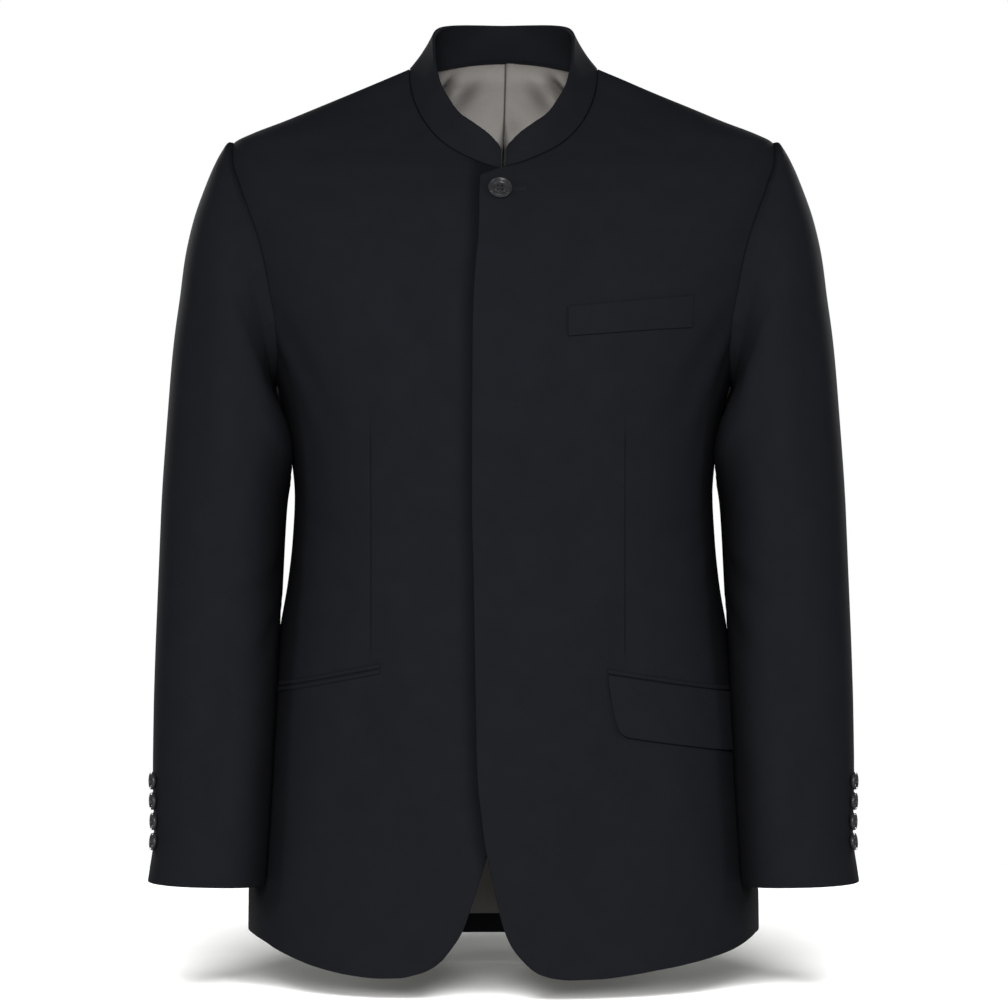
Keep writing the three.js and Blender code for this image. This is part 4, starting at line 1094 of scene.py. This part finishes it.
def drilled(mesh, cutter_mesh):
    """The first mesh with the second one cut out of it."""
    disc = bpy.data.objects.new("disc", mesh)
    cutter = bpy.data.objects.new("cutter", cutter_mesh)
    for item in (disc, cutter):
        bpy.context.scene.collection.objects.link(item)
    cut = disc.modifiers.new("holes", "BOOLEAN")
    cut.operation = "DIFFERENCE"
    cut.object = cutter
    cut.solver = "EXACT"
    depsgraph = bpy.context.evaluated_depsgraph_get()
    result = bpy.data.meshes.new_from_object(disc.evaluated_get(depsgraph))
    for item in (disc, cutter):
        bpy.data.objects.remove(item)
    result.shade_smooth()
    result.set_sharp_from_angle(angle=math.radians(40))
    return result


def seat(point, out, gap):
    """The matrix that lays something that faces +Z on the cloth, its top kept upward."""
    out = Vector(out).normalized()
    side = Vector((0, 0, 1)).cross(out).normalized()
    up = out.cross(side)
    turned = Matrix((side, up, out)).transposed().to_4x4()
    return Matrix.Translation((Vector(point) + out * gap) * MM) @ turned


def strand(form, start, end, radius, rise, sides=6, steps=6):
    """One short stitch of thread: a bowed grain between two points, in metres."""
    start, end, rise = Vector(start), Vector(end), Vector(rise)
    grain = bmesh.ops.create_uvsphere(form, u_segments=sides, v_segments=steps, radius=1)["verts"]
    turned = (end - start).to_track_quat("Z", "Y").to_matrix()
    for vert in grain:
        share = (vert.co.z + 1) / 2
        around = turned @ Vector((vert.co.x * radius, vert.co.y * radius, 0))
        vert.co = start.lerp(end, share) + around + rise * math.sin(math.pi * share)


def front_button_seat():
    level = FRONT_BUTTON["level"]
    turn = float(turn_at(FRONT_BUTTON["across"], level))
    point, out, _ = worn_body(left_front, np.array([level]), np.array([turn]))
    return seat(point[0], out[0], FRONT_BUTTON["gap"])


def sleeve_button_seat(number, side, folds):
    """Where a sleeve button lies: the ring at its height is found by halving."""
    halvings, near = 30, 0.02
    angle = SLEEVE_BUTTON["angle"]
    height = SLEEVE_BUTTON["first"] - number * SLEEVE_BUTTON["pitch"]
    low, high = LAST_RING / 2, float(LAST_RING)
    for _ in range(halvings):
        middle = (low + high) / 2
        if sleeve(middle, angle)[2] > height:
            low = middle
        else:
            high = middle
    ring = (low + high) / 2
    rings = np.array([[ring - near], [ring], [min(LAST_RING, ring + near)]])
    points = sleeve(rings, np.array([[angle - 1, angle, angle + 1]]))
    normals = grid_normals(points)
    if normals[1, 1, 0] < 0:
        normals = -normals
    point, out = points[1, 1], normals[1, 1]
    point = point + out * float(fold_depths(point[None], folds, sleeve)[0] + ripple(point[None])[0])
    mirror = np.array([side, 1, 1])
    return seat(point * mirror, out * mirror, SLEEVE_BUTTON["gap"])


def button_thread(form, radius, thickness, place):
    """Two bars of thread across a button's four holes, three strands in each."""
    offset = radius * HOLE_OFFSET
    level = thickness * BUTTON_PROFILE[-1][1] - BUTTON_THREAD["starts"] * MM
    for row in (-1, 1):
        for k in (-1, 0, 1):
            y = row * offset + k * radius * BUTTON_THREAD["apart"]
            end = (offset, y + k * radius * BUTTON_THREAD["slant"], level)
            before = set(form.verts)
            strand(form, (-offset, y, level), end, BUTTON_THREAD["radius"] * MM,
                   (0, 0, BUTTON_THREAD["bow"] * MM))
            bmesh.ops.transform(form, matrix=place, verts=list(set(form.verts) - before))


def build_buttons(context):
    button, thread = button_resin(), sewing_thread()
    seats = [("top_button", "front_button", FRONT_BUTTON, front_button_seat())]
    for word, side, folds in (("left", 1, LEFT_SLEEVE_FOLDS), ("right", -1, RIGHT_SLEEVE_FOLDS)):
        for number in range(SLEEVE_BUTTON["count"]):
            seats.append((f"cuff_button_{word}_{number + 1}", f"sleeve_button_{word}_{number + 1}",
                          SLEEVE_BUTTON, sleeve_button_seat(number, side, folds)))
    threads = bmesh.new()
    for name, node, made, place in seats:
        radius, thickness = made["radius"] * MM, made["thickness"] * MM
        mesh = button_mesh(name, radius, thickness)
        mesh.transform(place)
        add_piece(name, mesh, [button], [node])
        button_thread(threads, radius, thickness, place)
    add_threads("button_thread", threads, thread)


def add_threads(name, form, material):
    bmesh.ops.recalc_face_normals(form, faces=form.faces)
    mesh = bpy.data.meshes.new(name)
    form.to_mesh(mesh)
    form.free()
    mesh.shade_smooth()
    add_piece(name, mesh, [material], [])


def lay_stitch(form, made, across, levels):
    """One stitch on the left front, between two places across and down it."""
    points, out, _ = worn_body(left_front, levels, turn_at(np.array(across), levels))
    start, end = (points + out * STITCH["stands"]) * MM
    strand(form, start, end, made["radius"] * MM, tuple(out[0] * made["bow"] * MM), 5, 3)


def build_buttonhole(context):
    """A worked buttonhole beside the top button: stitches along both lips and a bar tack."""
    form = bmesh.new()
    level_at = curve(BUTTON_HOLE, "across", "level")
    start, end = BUTTON_HOLE["across"][0], BUTTON_HOLE["across"][-1]
    for k in range(int((end - start) / STITCH["pitch"]) + 1):
        across = start + k * STITCH["pitch"]
        for side in (-1, 1):
            levels = level_at(across) + side * np.array([STITCH["lip"], STITCH["reach"]])
            lay_stitch(form, STITCH, (across, across + STITCH["slant"] * side), levels)
    for k in range(-TACK["each_side"], TACK["each_side"] + 1):
        levels = level_at(end) + (k + np.array([TACK["starts"], TACK["ends"]])) * STITCH["pitch"]
        lay_stitch(form, TACK, (end, end + TACK["slant"]), levels)
    add_threads("buttonhole_stitches", form, sewing_thread())


class Nodes:
    """Small helper that adds and joins shader nodes."""

    def __init__(self, tree):
        self.tree = tree

    def add(self, kind, **settings):
        node = self.tree.nodes.new(kind)
        for name, value in settings.items():
            setattr(node, name, value)
        return node

    def join(self, source, target):
        self.tree.links.new(source, target)

    def maths(self, operation, first, second=0.0):
        node = self.add("ShaderNodeMath", operation=operation)
        for socket, value in zip(node.inputs, (first, second)):
            if isinstance(value, (int, float)):
                socket.default_value = value
            else:
                self.join(value, socket)
        return node.outputs[0]

    def noise(self, vector, scale, detail=2.0, roughness=0.5):
        node = self.add("ShaderNodeTexNoise")
        node.inputs["Scale"].default_value = scale
        node.inputs["Detail"].default_value = detail
        node.inputs["Roughness"].default_value = roughness
        self.join(vector, node.inputs["Vector"])
        return node.outputs["Fac"]

    def spread(self, value, low, high, to_low, to_high):
        node = self.add("ShaderNodeMapRange")
        for name, number in (("From Min", low), ("From Max", high), ("To Min", to_low), ("To Max", to_high)):
            node.inputs[name].default_value = number
        self.join(value, node.inputs["Value"])
        return node.outputs["Result"]


def new_group(name, inputs, outputs):
    """A shader node group with named inputs and outputs, and its helper and end nodes."""
    group = bpy.data.node_groups.new(name, "ShaderNodeTree")
    for title, kind in inputs:
        group.interface.new_socket(title, in_out="INPUT", socket_type=kind)
    for title, kind in outputs:
        group.interface.new_socket(title, in_out="OUTPUT", socket_type=kind)
    make = Nodes(group)
    return group, make, make.add("NodeGroupInput"), make.add("NodeGroupOutput")


# How strongly the crossing threads and the loose fibres show beside the main threads
WEFT_SHARE = 0.6
FIBRE_SHARE = 0.7


def weave_group():
    """Threads that cross: along and across the cloth, with a diagonal where it is twill."""
    if "crossed_threads" in bpy.data.node_groups:
        return bpy.data.node_groups["crossed_threads"]
    group, make, given, result = new_group(
        "crossed_threads",
        (("Vector", "NodeSocketVector"), ("Pitch", "NodeSocketFloat"), ("Slant", "NodeSocketFloat")),
        (("Height", "NodeSocketFloat"),))
    parts = make.add("ShaderNodeSeparateXYZ")
    make.join(given.outputs["Vector"], parts.inputs[0])
    across = make.maths("DIVIDE", parts.outputs["X"], given.outputs["Pitch"])
    up = make.maths("DIVIDE", parts.outputs["Y"], given.outputs["Pitch"])
    slanted = make.maths("ADD", across, make.maths("MULTIPLY", up, given.outputs["Slant"]))
    first = make.maths("SINE", make.maths("MULTIPLY", slanted, 2 * math.pi))
    second = make.maths("SINE", make.maths("MULTIPLY", up, 2 * math.pi))
    both = make.maths("ADD", first, make.maths("MULTIPLY", second, WEFT_SHARE))
    height = make.spread(both, -1 - WEFT_SHARE, 1 + WEFT_SHARE, 0, 1)
    fibres = make.maths("SUBTRACT", make.noise(given.outputs["Vector"], 2600, 3), 0.5)
    mixed = make.maths("ADD", height, make.maths("MULTIPLY", fibres, FIBRE_SHARE))
    make.join(mixed, result.inputs["Height"])
    return group


def mottle_group():
    """Soft unevenness of a dyed cloth, large and small."""
    if "dye_mottle" in bpy.data.node_groups:
        return bpy.data.node_groups["dye_mottle"]
    group, make, given, result = new_group(
        "dye_mottle", (("Vector", "NodeSocketVector"), ("Amount", "NodeSocketFloat")),
        (("Factor", "NodeSocketFloat"),))
    large = make.noise(given.outputs["Vector"], 38, 3, 0.55)
    small = make.noise(given.outputs["Vector"], 320, 4, 0.6)
    both = make.maths("ADD", make.maths("MULTIPLY", large, 0.55), make.maths("MULTIPLY", small, 0.45))
    centred = make.maths("MULTIPLY", make.maths("SUBTRACT", both, 0.5), given.outputs["Amount"])
    make.join(make.maths("ADD", centred, 1.0), result.inputs["Factor"])
    return group


def mark_group():
    """How much painted shade darkens a place, by its seam and fold marks: where cloth turns into a seam,
    lies in a fold or lies close to other cloth.
    """
    if "seam_shade" in bpy.data.node_groups:
        return bpy.data.node_groups["seam_shade"]
    group, make, given, result = new_group(
        "seam_shade", (("Seam Depth", "NodeSocketFloat"), ("Fold Depth", "NodeSocketFloat")),
        (("Factor", "NodeSocketFloat"),))
    seam = make.add("ShaderNodeAttribute", attribute_name="seam").outputs["Fac"]
    fold = make.add("ShaderNodeAttribute", attribute_name="fold").outputs["Fac"]
    kept = make.maths("SUBTRACT", 1.0, make.maths("MULTIPLY", seam, given.outputs["Seam Depth"]))
    folded = make.maths("SUBTRACT", 1.0, make.maths("MULTIPLY", fold, given.outputs["Fold Depth"]))
    make.join(make.maths("MULTIPLY", kept, folded), result.inputs["Factor"])
    return group


def new_material(name):
    material = bpy.data.materials.new(name)
    material.use_nodes = True
    make = Nodes(material.node_tree)
    shader = next(node for node in material.node_tree.nodes if node.type == "BSDF_PRINCIPLED")
    return material, make, shader


def tinted(make, shader, colour, factors):
    """The base colour, made lighter and darker by the product of some factors."""
    product = factors[0]
    for factor in factors[1:]:
        product = make.maths("MULTIPLY", product, factor)
    scale = make.add("ShaderNodeVectorMath", operation="SCALE")
    scale.inputs[0].default_value = colour
    make.join(product, scale.inputs["Scale"])
    make.join(scale.outputs["Vector"], shader.inputs["Base Color"])


def bumped(make, shader, height, strength, distance):
    bump = make.add("ShaderNodeBump")
    bump.inputs["Strength"].default_value = strength
    bump.inputs["Distance"].default_value = distance
    make.join(height, bump.inputs["Height"])
    make.join(bump.outputs["Normal"], shader.inputs["Normal"])


def woven(name, colour, pitch, slant, contrast, mottled, seam_depth, fold_depth, raised, bump,
          roughness, specular):
    """A woven cloth: its threads, its dye, and painted shade at its seams and in its folds."""
    material, make, shader = new_material(name)
    place = make.add("ShaderNodeUVMap", uv_map="cloth").outputs["UV"]
    weave = make.add("ShaderNodeGroup", node_tree=weave_group())
    weave.inputs["Pitch"].default_value = pitch
    weave.inputs["Slant"].default_value = slant
    mottle = make.add("ShaderNodeGroup", node_tree=mottle_group())
    mottle.inputs["Amount"].default_value = mottled
    # Painted shade from the seam and fold marks, as strong as seam_depth and fold_depth say.
    shade = make.add("ShaderNodeGroup", node_tree=mark_group())
    shade.inputs["Seam Depth"].default_value = seam_depth
    shade.inputs["Fold Depth"].default_value = fold_depth
    for group in (weave, mottle):
        make.join(place, group.inputs["Vector"])
    threads = make.spread(weave.outputs["Height"], 0, 1, 1 - contrast, 1 + contrast)
    tinted(make, shader, colour, (threads, mottle.outputs["Factor"], shade.outputs["Factor"]))
    bumped(make, shader, weave.outputs["Height"], bump, raised)
    make.join(make.spread(weave.outputs["Height"], 0, 1, *roughness), shader.inputs["Roughness"])
    shader.inputs["Specular IOR Level"].default_value = specular
    return material


def wool_cloth():
    if "navy_wool" in bpy.data.materials:
        return bpy.data.materials["navy_wool"]
    finish = bpy.context.scene.blazer_finish
    return woven("navy_wool", finish.wool_colour, finish.twill_pitch, slant=0.55, contrast=0.16,
                 mottled=0.5, seam_depth=0.4, fold_depth=1.0, raised=0.00012, bump=0.35,
                 roughness=(0.95, 0.82), specular=0.07)


def lining_cloth():
    if "taupe_lining" in bpy.data.materials:
        return bpy.data.materials["taupe_lining"]
    finish = bpy.context.scene.blazer_finish
    return woven("taupe_lining", finish.lining_colour, finish.check_pitch, slant=0.0, contrast=0.12,
                 mottled=0.35, seam_depth=0.8, fold_depth=0.95, raised=0.0001, bump=0.25,
                 roughness=(0.55, 0.4), specular=0.35)


def button_resin():
    finish = bpy.context.scene.blazer_finish
    material, make, shader = new_material("charcoal_resin")
    place = make.add("ShaderNodeTexCoord").outputs["Object"]
    swirl = make.noise(place, 240, 4, 0.6)
    grain = make.noise(place, 1500, 2)
    tinted(make, shader, finish.button_colour, (make.spread(swirl, 0.3, 0.7, 0.7, 1.35),))
    make.join(make.spread(grain, 0, 1, 0.24, 0.4), shader.inputs["Roughness"])
    bumped(make, shader, grain, 0.08, 0.0001)
    shader.inputs["Specular IOR Level"].default_value = 0.55
    return material


def sewing_thread():
    if "dark_thread" in bpy.data.materials:
        return bpy.data.materials["dark_thread"]
    finish = bpy.context.scene.blazer_finish
    material, make, shader = new_material("dark_thread")
    place = make.add("ShaderNodeTexCoord").outputs["Object"]
    fibres = make.noise(place, 4200, 3)
    tinted(make, shader, finish.thread_colour, (make.spread(fibres, 0.3, 0.7, 0.75, 1.25),))
    make.join(make.spread(fibres, 0, 1, 0.5, 0.75), shader.inputs["Roughness"])
    bumped(make, shader, fibres, 0.3, 0.0001)
    return material


def build_stage(context):
    """A pale floor just below the hem, soft lights and the camera at the photo's angle."""
    stage = context.scene.blazer_stage
    low = CAD_BOX[0].z - stage.floor_gap
    form = bmesh.new()
    bmesh.ops.create_grid(form, x_segments=1, y_segments=1, size=stage.floor_size)
    bmesh.ops.translate(form, verts=form.verts, vec=(0, stage.floor_back - stage.floor_size, low))
    mesh = bpy.data.meshes.new("pale_floor")
    form.to_mesh(mesh)
    form.free()
    floor = bpy.data.objects.new("pale_floor", mesh)
    context.scene.collection.objects.link(floor)
    material, make, shader = new_material("pale_paper")
    place = make.add("ShaderNodeTexCoord").outputs["Object"]
    cloudy = make.spread(make.noise(place, 9, 2), 0.3, 0.7, 0.985, 1.015)
    # The floor throws less light back up at the hem than the camera sees in it.
    seen = make.add("ShaderNodeLightPath").outputs["Is Camera Ray"]
    tinted(make, shader, stage.floor_colour, (cloudy, make.spread(seen, 0, 1, 0.12, 1)))
    shader.inputs["Roughness"].default_value = 0.9
    shader.inputs["Emission Color"].default_value = (1, 1, 0.94, 1)
    shader.inputs["Emission Strength"].default_value = 0.08
    mesh.materials.append(material)
    add_lights(stage, floor)
    add_world(stage)
    camera = bpy.data.cameras.new("photo_camera")
    camera.lens = stage.lens
    holder = bpy.data.objects.new("photo_camera", camera)
    holder.location = (stage.camera_side, -stage.distance, stage.camera_height)
    holder.rotation_euler = (math.radians(90), 0, 0)
    context.scene.collection.objects.link(holder)
    context.scene.camera = holder
    context.scene.view_settings.view_transform = "Standard"


def add_lights(stage, floor):
    """Large soft lights: in front, on each side, behind, and one that whitens the floor.
    The columns: name, place, aim, size, power, and whether only the floor is lit or left out."""
    lights = (
        ("key_light", (-0.1, -2.9, 0.35), (0, 0, -0.3), 1.0, stage.key_power, ""),
        ("side_light_left", (2.7, -1.7, 0.35), (0, 0, -0.3), 0.9, stage.side_power, ""),
        ("side_light_right", (-2.7, -1.7, 0.35), (0, 0, -0.3), 0.9, stage.side_power, ""),
        ("back_light_left", (1.7, 2.4, 0.7), (0, 0, -0.3), 1.0, stage.back_power, "EXCLUDE"),
        ("back_light_right", (-1.7, 2.4, 0.7), (0, 0, -0.3), 1.0, stage.back_power, "EXCLUDE"),
        ("floor_light", (0, -1.9, 2.1), (0, 0.1, -0.8), 3.2, stage.floor_power, "INCLUDE"),
    )
    for name, place, aim, size, power, floor_link in lights:
        light = bpy.data.lights.new(name, "AREA")
        light.shape = "DISK"
        light.size = size
        light.energy = power
        holder = bpy.data.objects.new(name, light)
        holder.location = place
        holder.rotation_euler = (Vector(aim) - Vector(place)).to_track_quat("-Z", "Y").to_euler()
        bpy.context.scene.collection.objects.link(holder)
        if floor_link:
            linked = bpy.data.collections.new(f"{name}_link")
            linked.objects.link(floor)
            linked.collection_objects[0].light_linking.link_state = floor_link
            holder.light_linking.receiver_collection = linked


def add_world(stage):
    """White to the camera, and a dimmer soft light to everything else."""
    world = bpy.data.worlds.new("studio")
    world.use_nodes = True
    make = Nodes(world.node_tree)
    world.node_tree.nodes.clear()
    seen, cast = make.add("ShaderNodeBackground"), make.add("ShaderNodeBackground")
    cast.inputs["Strength"].default_value = stage.ambient
    for node in (seen, cast):
        node.inputs["Color"].default_value = (1, 1, 1, 1)
    choice, path = make.add("ShaderNodeMixShader"), make.add("ShaderNodeLightPath")
    make.join(path.outputs["Is Camera Ray"], choice.inputs["Fac"])
    make.join(cast.outputs[0], choice.inputs[1])
    make.join(seen.outputs[0], choice.inputs[2])
    make.join(choice.outputs[0], make.add("ShaderNodeOutputWorld").inputs["Surface"])
    bpy.context.scene.world = world


def length_property(name, description, default):
    return FloatProperty(name=name, description=description, default=default, min=0, unit="LENGTH",
                         precision=5)


def colour_property(name, description, default):
    return FloatVectorProperty(name=name, description=description, default=default, size=3,
                               subtype="COLOR", min=0, max=1)


class BlazerSizes(bpy.types.PropertyGroup):
    """Thicknesses and edge roundings of the cloth"""
    cloth: length_property("Cloth", "Thickness of the wool with its canvas", 0.002)
    collar_cloth: length_property("Collar", "Thickness of the standing band", 0.0026)
    lining_cloth: length_property("Lining", "Thickness of the lining", 0.001)
    lining_gap: length_property("Lining Gap", "Room between the wool and the lining", 0.0007)
    seam_roll: length_property("Seam Roll", "Radius at which cloth turns into a seam", 0.0007)
    edge_roll: length_property("Edge Roll", "Radius of hems and other free edges", 0.001)


class BlazerFinish(bpy.types.PropertyGroup):
    """Colours and weaves"""
    wool_colour: colour_property("Wool", "Near-black navy of the wool", (0.0118, 0.0124, 0.0158))
    twill_pitch: length_property("Twill Pitch", "Distance between the twill's ridges", 0.0009)
    lining_colour: colour_property("Lining", "Grey taupe of the lining", (0.37, 0.345, 0.324))
    check_pitch: length_property("Check Pitch", "Repeat of the lining's fine check", 0.0016)
    button_colour: colour_property("Buttons", "Charcoal of the resin buttons", (0.03, 0.03, 0.033))
    thread_colour: colour_property("Thread", "Dark sewing thread", (0.012, 0.012, 0.015))


class BlazerStage(bpy.types.PropertyGroup):
    """Floor, lights and camera"""
    floor_gap: length_property("Floor Gap", "How far the floor lies below the hem", 0.018)
    floor_size: length_property("Floor Size", "Half the floor's width", 1.2)
    floor_back: length_property("Floor Back", "How far the floor goes back from the blazer", 0.85)
    floor_colour: colour_property("Floor", "Colour of the floor", (0.86, 0.86, 0.85))
    key_power: FloatProperty(name="Key", description="Power of the key light in watts", default=60)
    side_power: FloatProperty(name="Side", description="Power of each side light in watts", default=17)
    back_power: FloatProperty(name="Back", description="Power of each back light in watts", default=60)
    floor_power: FloatProperty(name="Floor Light", description="Power over the floor in watts", default=435)
    ambient: FloatProperty(name="Ambient", description="Strength of the soft light all round", default=0.08)
    distance: length_property("Distance", "From the camera to the centre plane", 2.8)
    camera_side: FloatProperty(name="Camera Side", description="Place of the camera across",
                               default=0.00043, unit="LENGTH", precision=5)
    camera_height: FloatProperty(name="Camera Height", description="Height of the camera",
                                 default=-0.374, unit="LENGTH")
    lens: FloatProperty(name="Lens", description="Focal length in millimetres", default=116.28)


class BLAZER_OT_fronts(bpy.types.Operator):
    """Make the two fronts, the left one lapping over the right"""
    bl_idname = "blazer.fronts"
    bl_label = "Fronts"

    def execute(self, context):
        cuts = (("left", 1, left_edge, left_hem, LAP_CORNER_LEVEL, left_front),
                ("right", -1, right_edge, right_hem, UNDER_CORNER_LEVEL, body))
        for word, side, edge, hem, corner, surface in cuts:
            places = front_places(edge, hem, corner, DARTS[word])
            body_panel(f"front_panel_{word}", f"front_{word}", places, surface, side,
                       ("last",), ("first", "bottom"), context,
                       DARTS[word], front_facing(edge))
        return {"FINISHED"}


class BLAZER_OT_backs(bpy.types.Operator):
    """Make the two halves of the back, joined at the centre seam"""
    bl_idname = "blazer.backs"
    bl_label = "Backs"

    def execute(self, context):
        places = back_places(stops(HALF_WIDTH))
        for word, side in (("left", 1), ("right", -1)):
            body_panel(f"back_panel_{word}", f"back_{word}", places, body, side,
                       ("first", "last"), ("bottom",), context, faced=hem_facing)
        return {"FINISHED"}


class BLAZER_OT_sides(bpy.types.Operator):
    """Make the two side bodies under the arms"""
    bl_idname = "blazer.sides"
    bl_label = "Side Bodies"

    def execute(self, context):
        for word, side in (("left", 1), ("right", -1)):
            body_panel(f"side_panel_{word}", f"side_{word}", side_places(), body, side,
                       ("first", "last", "top"), ("bottom",), context,
                       faced=hem_facing)
        return {"FINISHED"}


class BLAZER_OT_sleeves(bpy.types.Operator):
    """Make both two-piece sleeves"""
    bl_idname = "blazer.sleeves"
    bl_label = "Sleeves"

    def execute(self, context):
        for word, side, folds in (("left", 1, LEFT_SLEEVE_FOLDS), ("right", -1, RIGHT_SLEEVE_FOLDS)):
            sleeve_piece(f"top_sleeve_{word}", f"sleeve_top_{word}", seam_back, seam_front,
                         side, folds, context)
            sleeve_piece(f"under_sleeve_{word}", f"sleeve_under_{word}", seam_front,
                         lambda ring: seam_back(ring) + 360, side, folds, context)
        return {"FINISHED"}


class BLAZER_OT_collar(bpy.types.Operator):
    """Make the standing band collar, open at the centre front"""
    bl_idname = "blazer.collar"
    bl_label = "Collar"

    def execute(self, context):
        build_collar(context)
        return {"FINISHED"}


class BLAZER_OT_lining(bpy.types.Operator):
    """Make the lining inside the back, with its centre pleat"""
    bl_idname = "blazer.lining"
    bl_label = "Lining"

    def execute(self, context):
        build_lining(context)
        return {"FINISHED"}


class BLAZER_OT_pockets(bpy.types.Operator):
    """Make the breast welt, the hip pockets' jets and the flap"""
    bl_idname = "blazer.pockets"
    bl_label = "Pockets"

    def execute(self, context):
        build_pockets(context)
        return {"FINISHED"}


class BLAZER_OT_buttons(bpy.types.Operator):
    """Make the top button, the cuff buttons and their thread"""
    bl_idname = "blazer.buttons"
    bl_label = "Buttons"

    def execute(self, context):
        build_buttons(context)
        return {"FINISHED"}


class BLAZER_OT_stitching(bpy.types.Operator):
    """Make the worked buttonhole's stitches"""
    bl_idname = "blazer.stitching"
    bl_label = "Buttonhole"

    def execute(self, context):
        build_buttonhole(context)
        return {"FINISHED"}


class BLAZER_OT_stage(bpy.types.Operator):
    """Make the floor, the lights and the camera"""
    bl_idname = "blazer.stage"
    bl_label = "Stage"

    def execute(self, context):
        build_stage(context)
        return {"FINISHED"}


OPERATORS = (
    BLAZER_OT_stage, BLAZER_OT_fronts, BLAZER_OT_sides, BLAZER_OT_backs, BLAZER_OT_sleeves,
    BLAZER_OT_collar, BLAZER_OT_lining, BLAZER_OT_pockets, BLAZER_OT_buttons, BLAZER_OT_stitching,
)


class BLAZER_PT_build(bpy.types.Panel):
    """Lists the blazer's settings and the steps that build it"""
    bl_label = "Blazer"
    bl_space_type = "VIEW_3D"
    bl_region_type = "UI"
    bl_category = "Blazer"

    def draw(self, context):
        for group in (context.scene.blazer_sizes, context.scene.blazer_finish, context.scene.blazer_stage):
            column = self.layout.column(align=True)
            for name in group.__annotations__:
                column.prop(group, name)
        for operator in OPERATORS:
            self.layout.operator(operator.bl_idname)


CLASSES = (BlazerSizes, BlazerFinish, BlazerStage, *OPERATORS, BLAZER_PT_build)


def register():
    for item in CLASSES:
        bpy.utils.register_class(item)
    bpy.types.Scene.blazer_sizes = PointerProperty(type=BlazerSizes)
    bpy.types.Scene.blazer_finish = PointerProperty(type=BlazerFinish)
    bpy.types.Scene.blazer_stage = PointerProperty(type=BlazerStage)


def unregister():
    del bpy.types.Scene.blazer_stage
    del bpy.types.Scene.blazer_finish
    del bpy.types.Scene.blazer_sizes
    for item in reversed(CLASSES):
        bpy.utils.unregister_class(item)


def main():
    register()
    for operator in OPERATORS:
        module, name = operator.bl_idname.split(".")
        getattr(getattr(bpy.ops, module), name)()


if __name__ == "__main__":
    main()
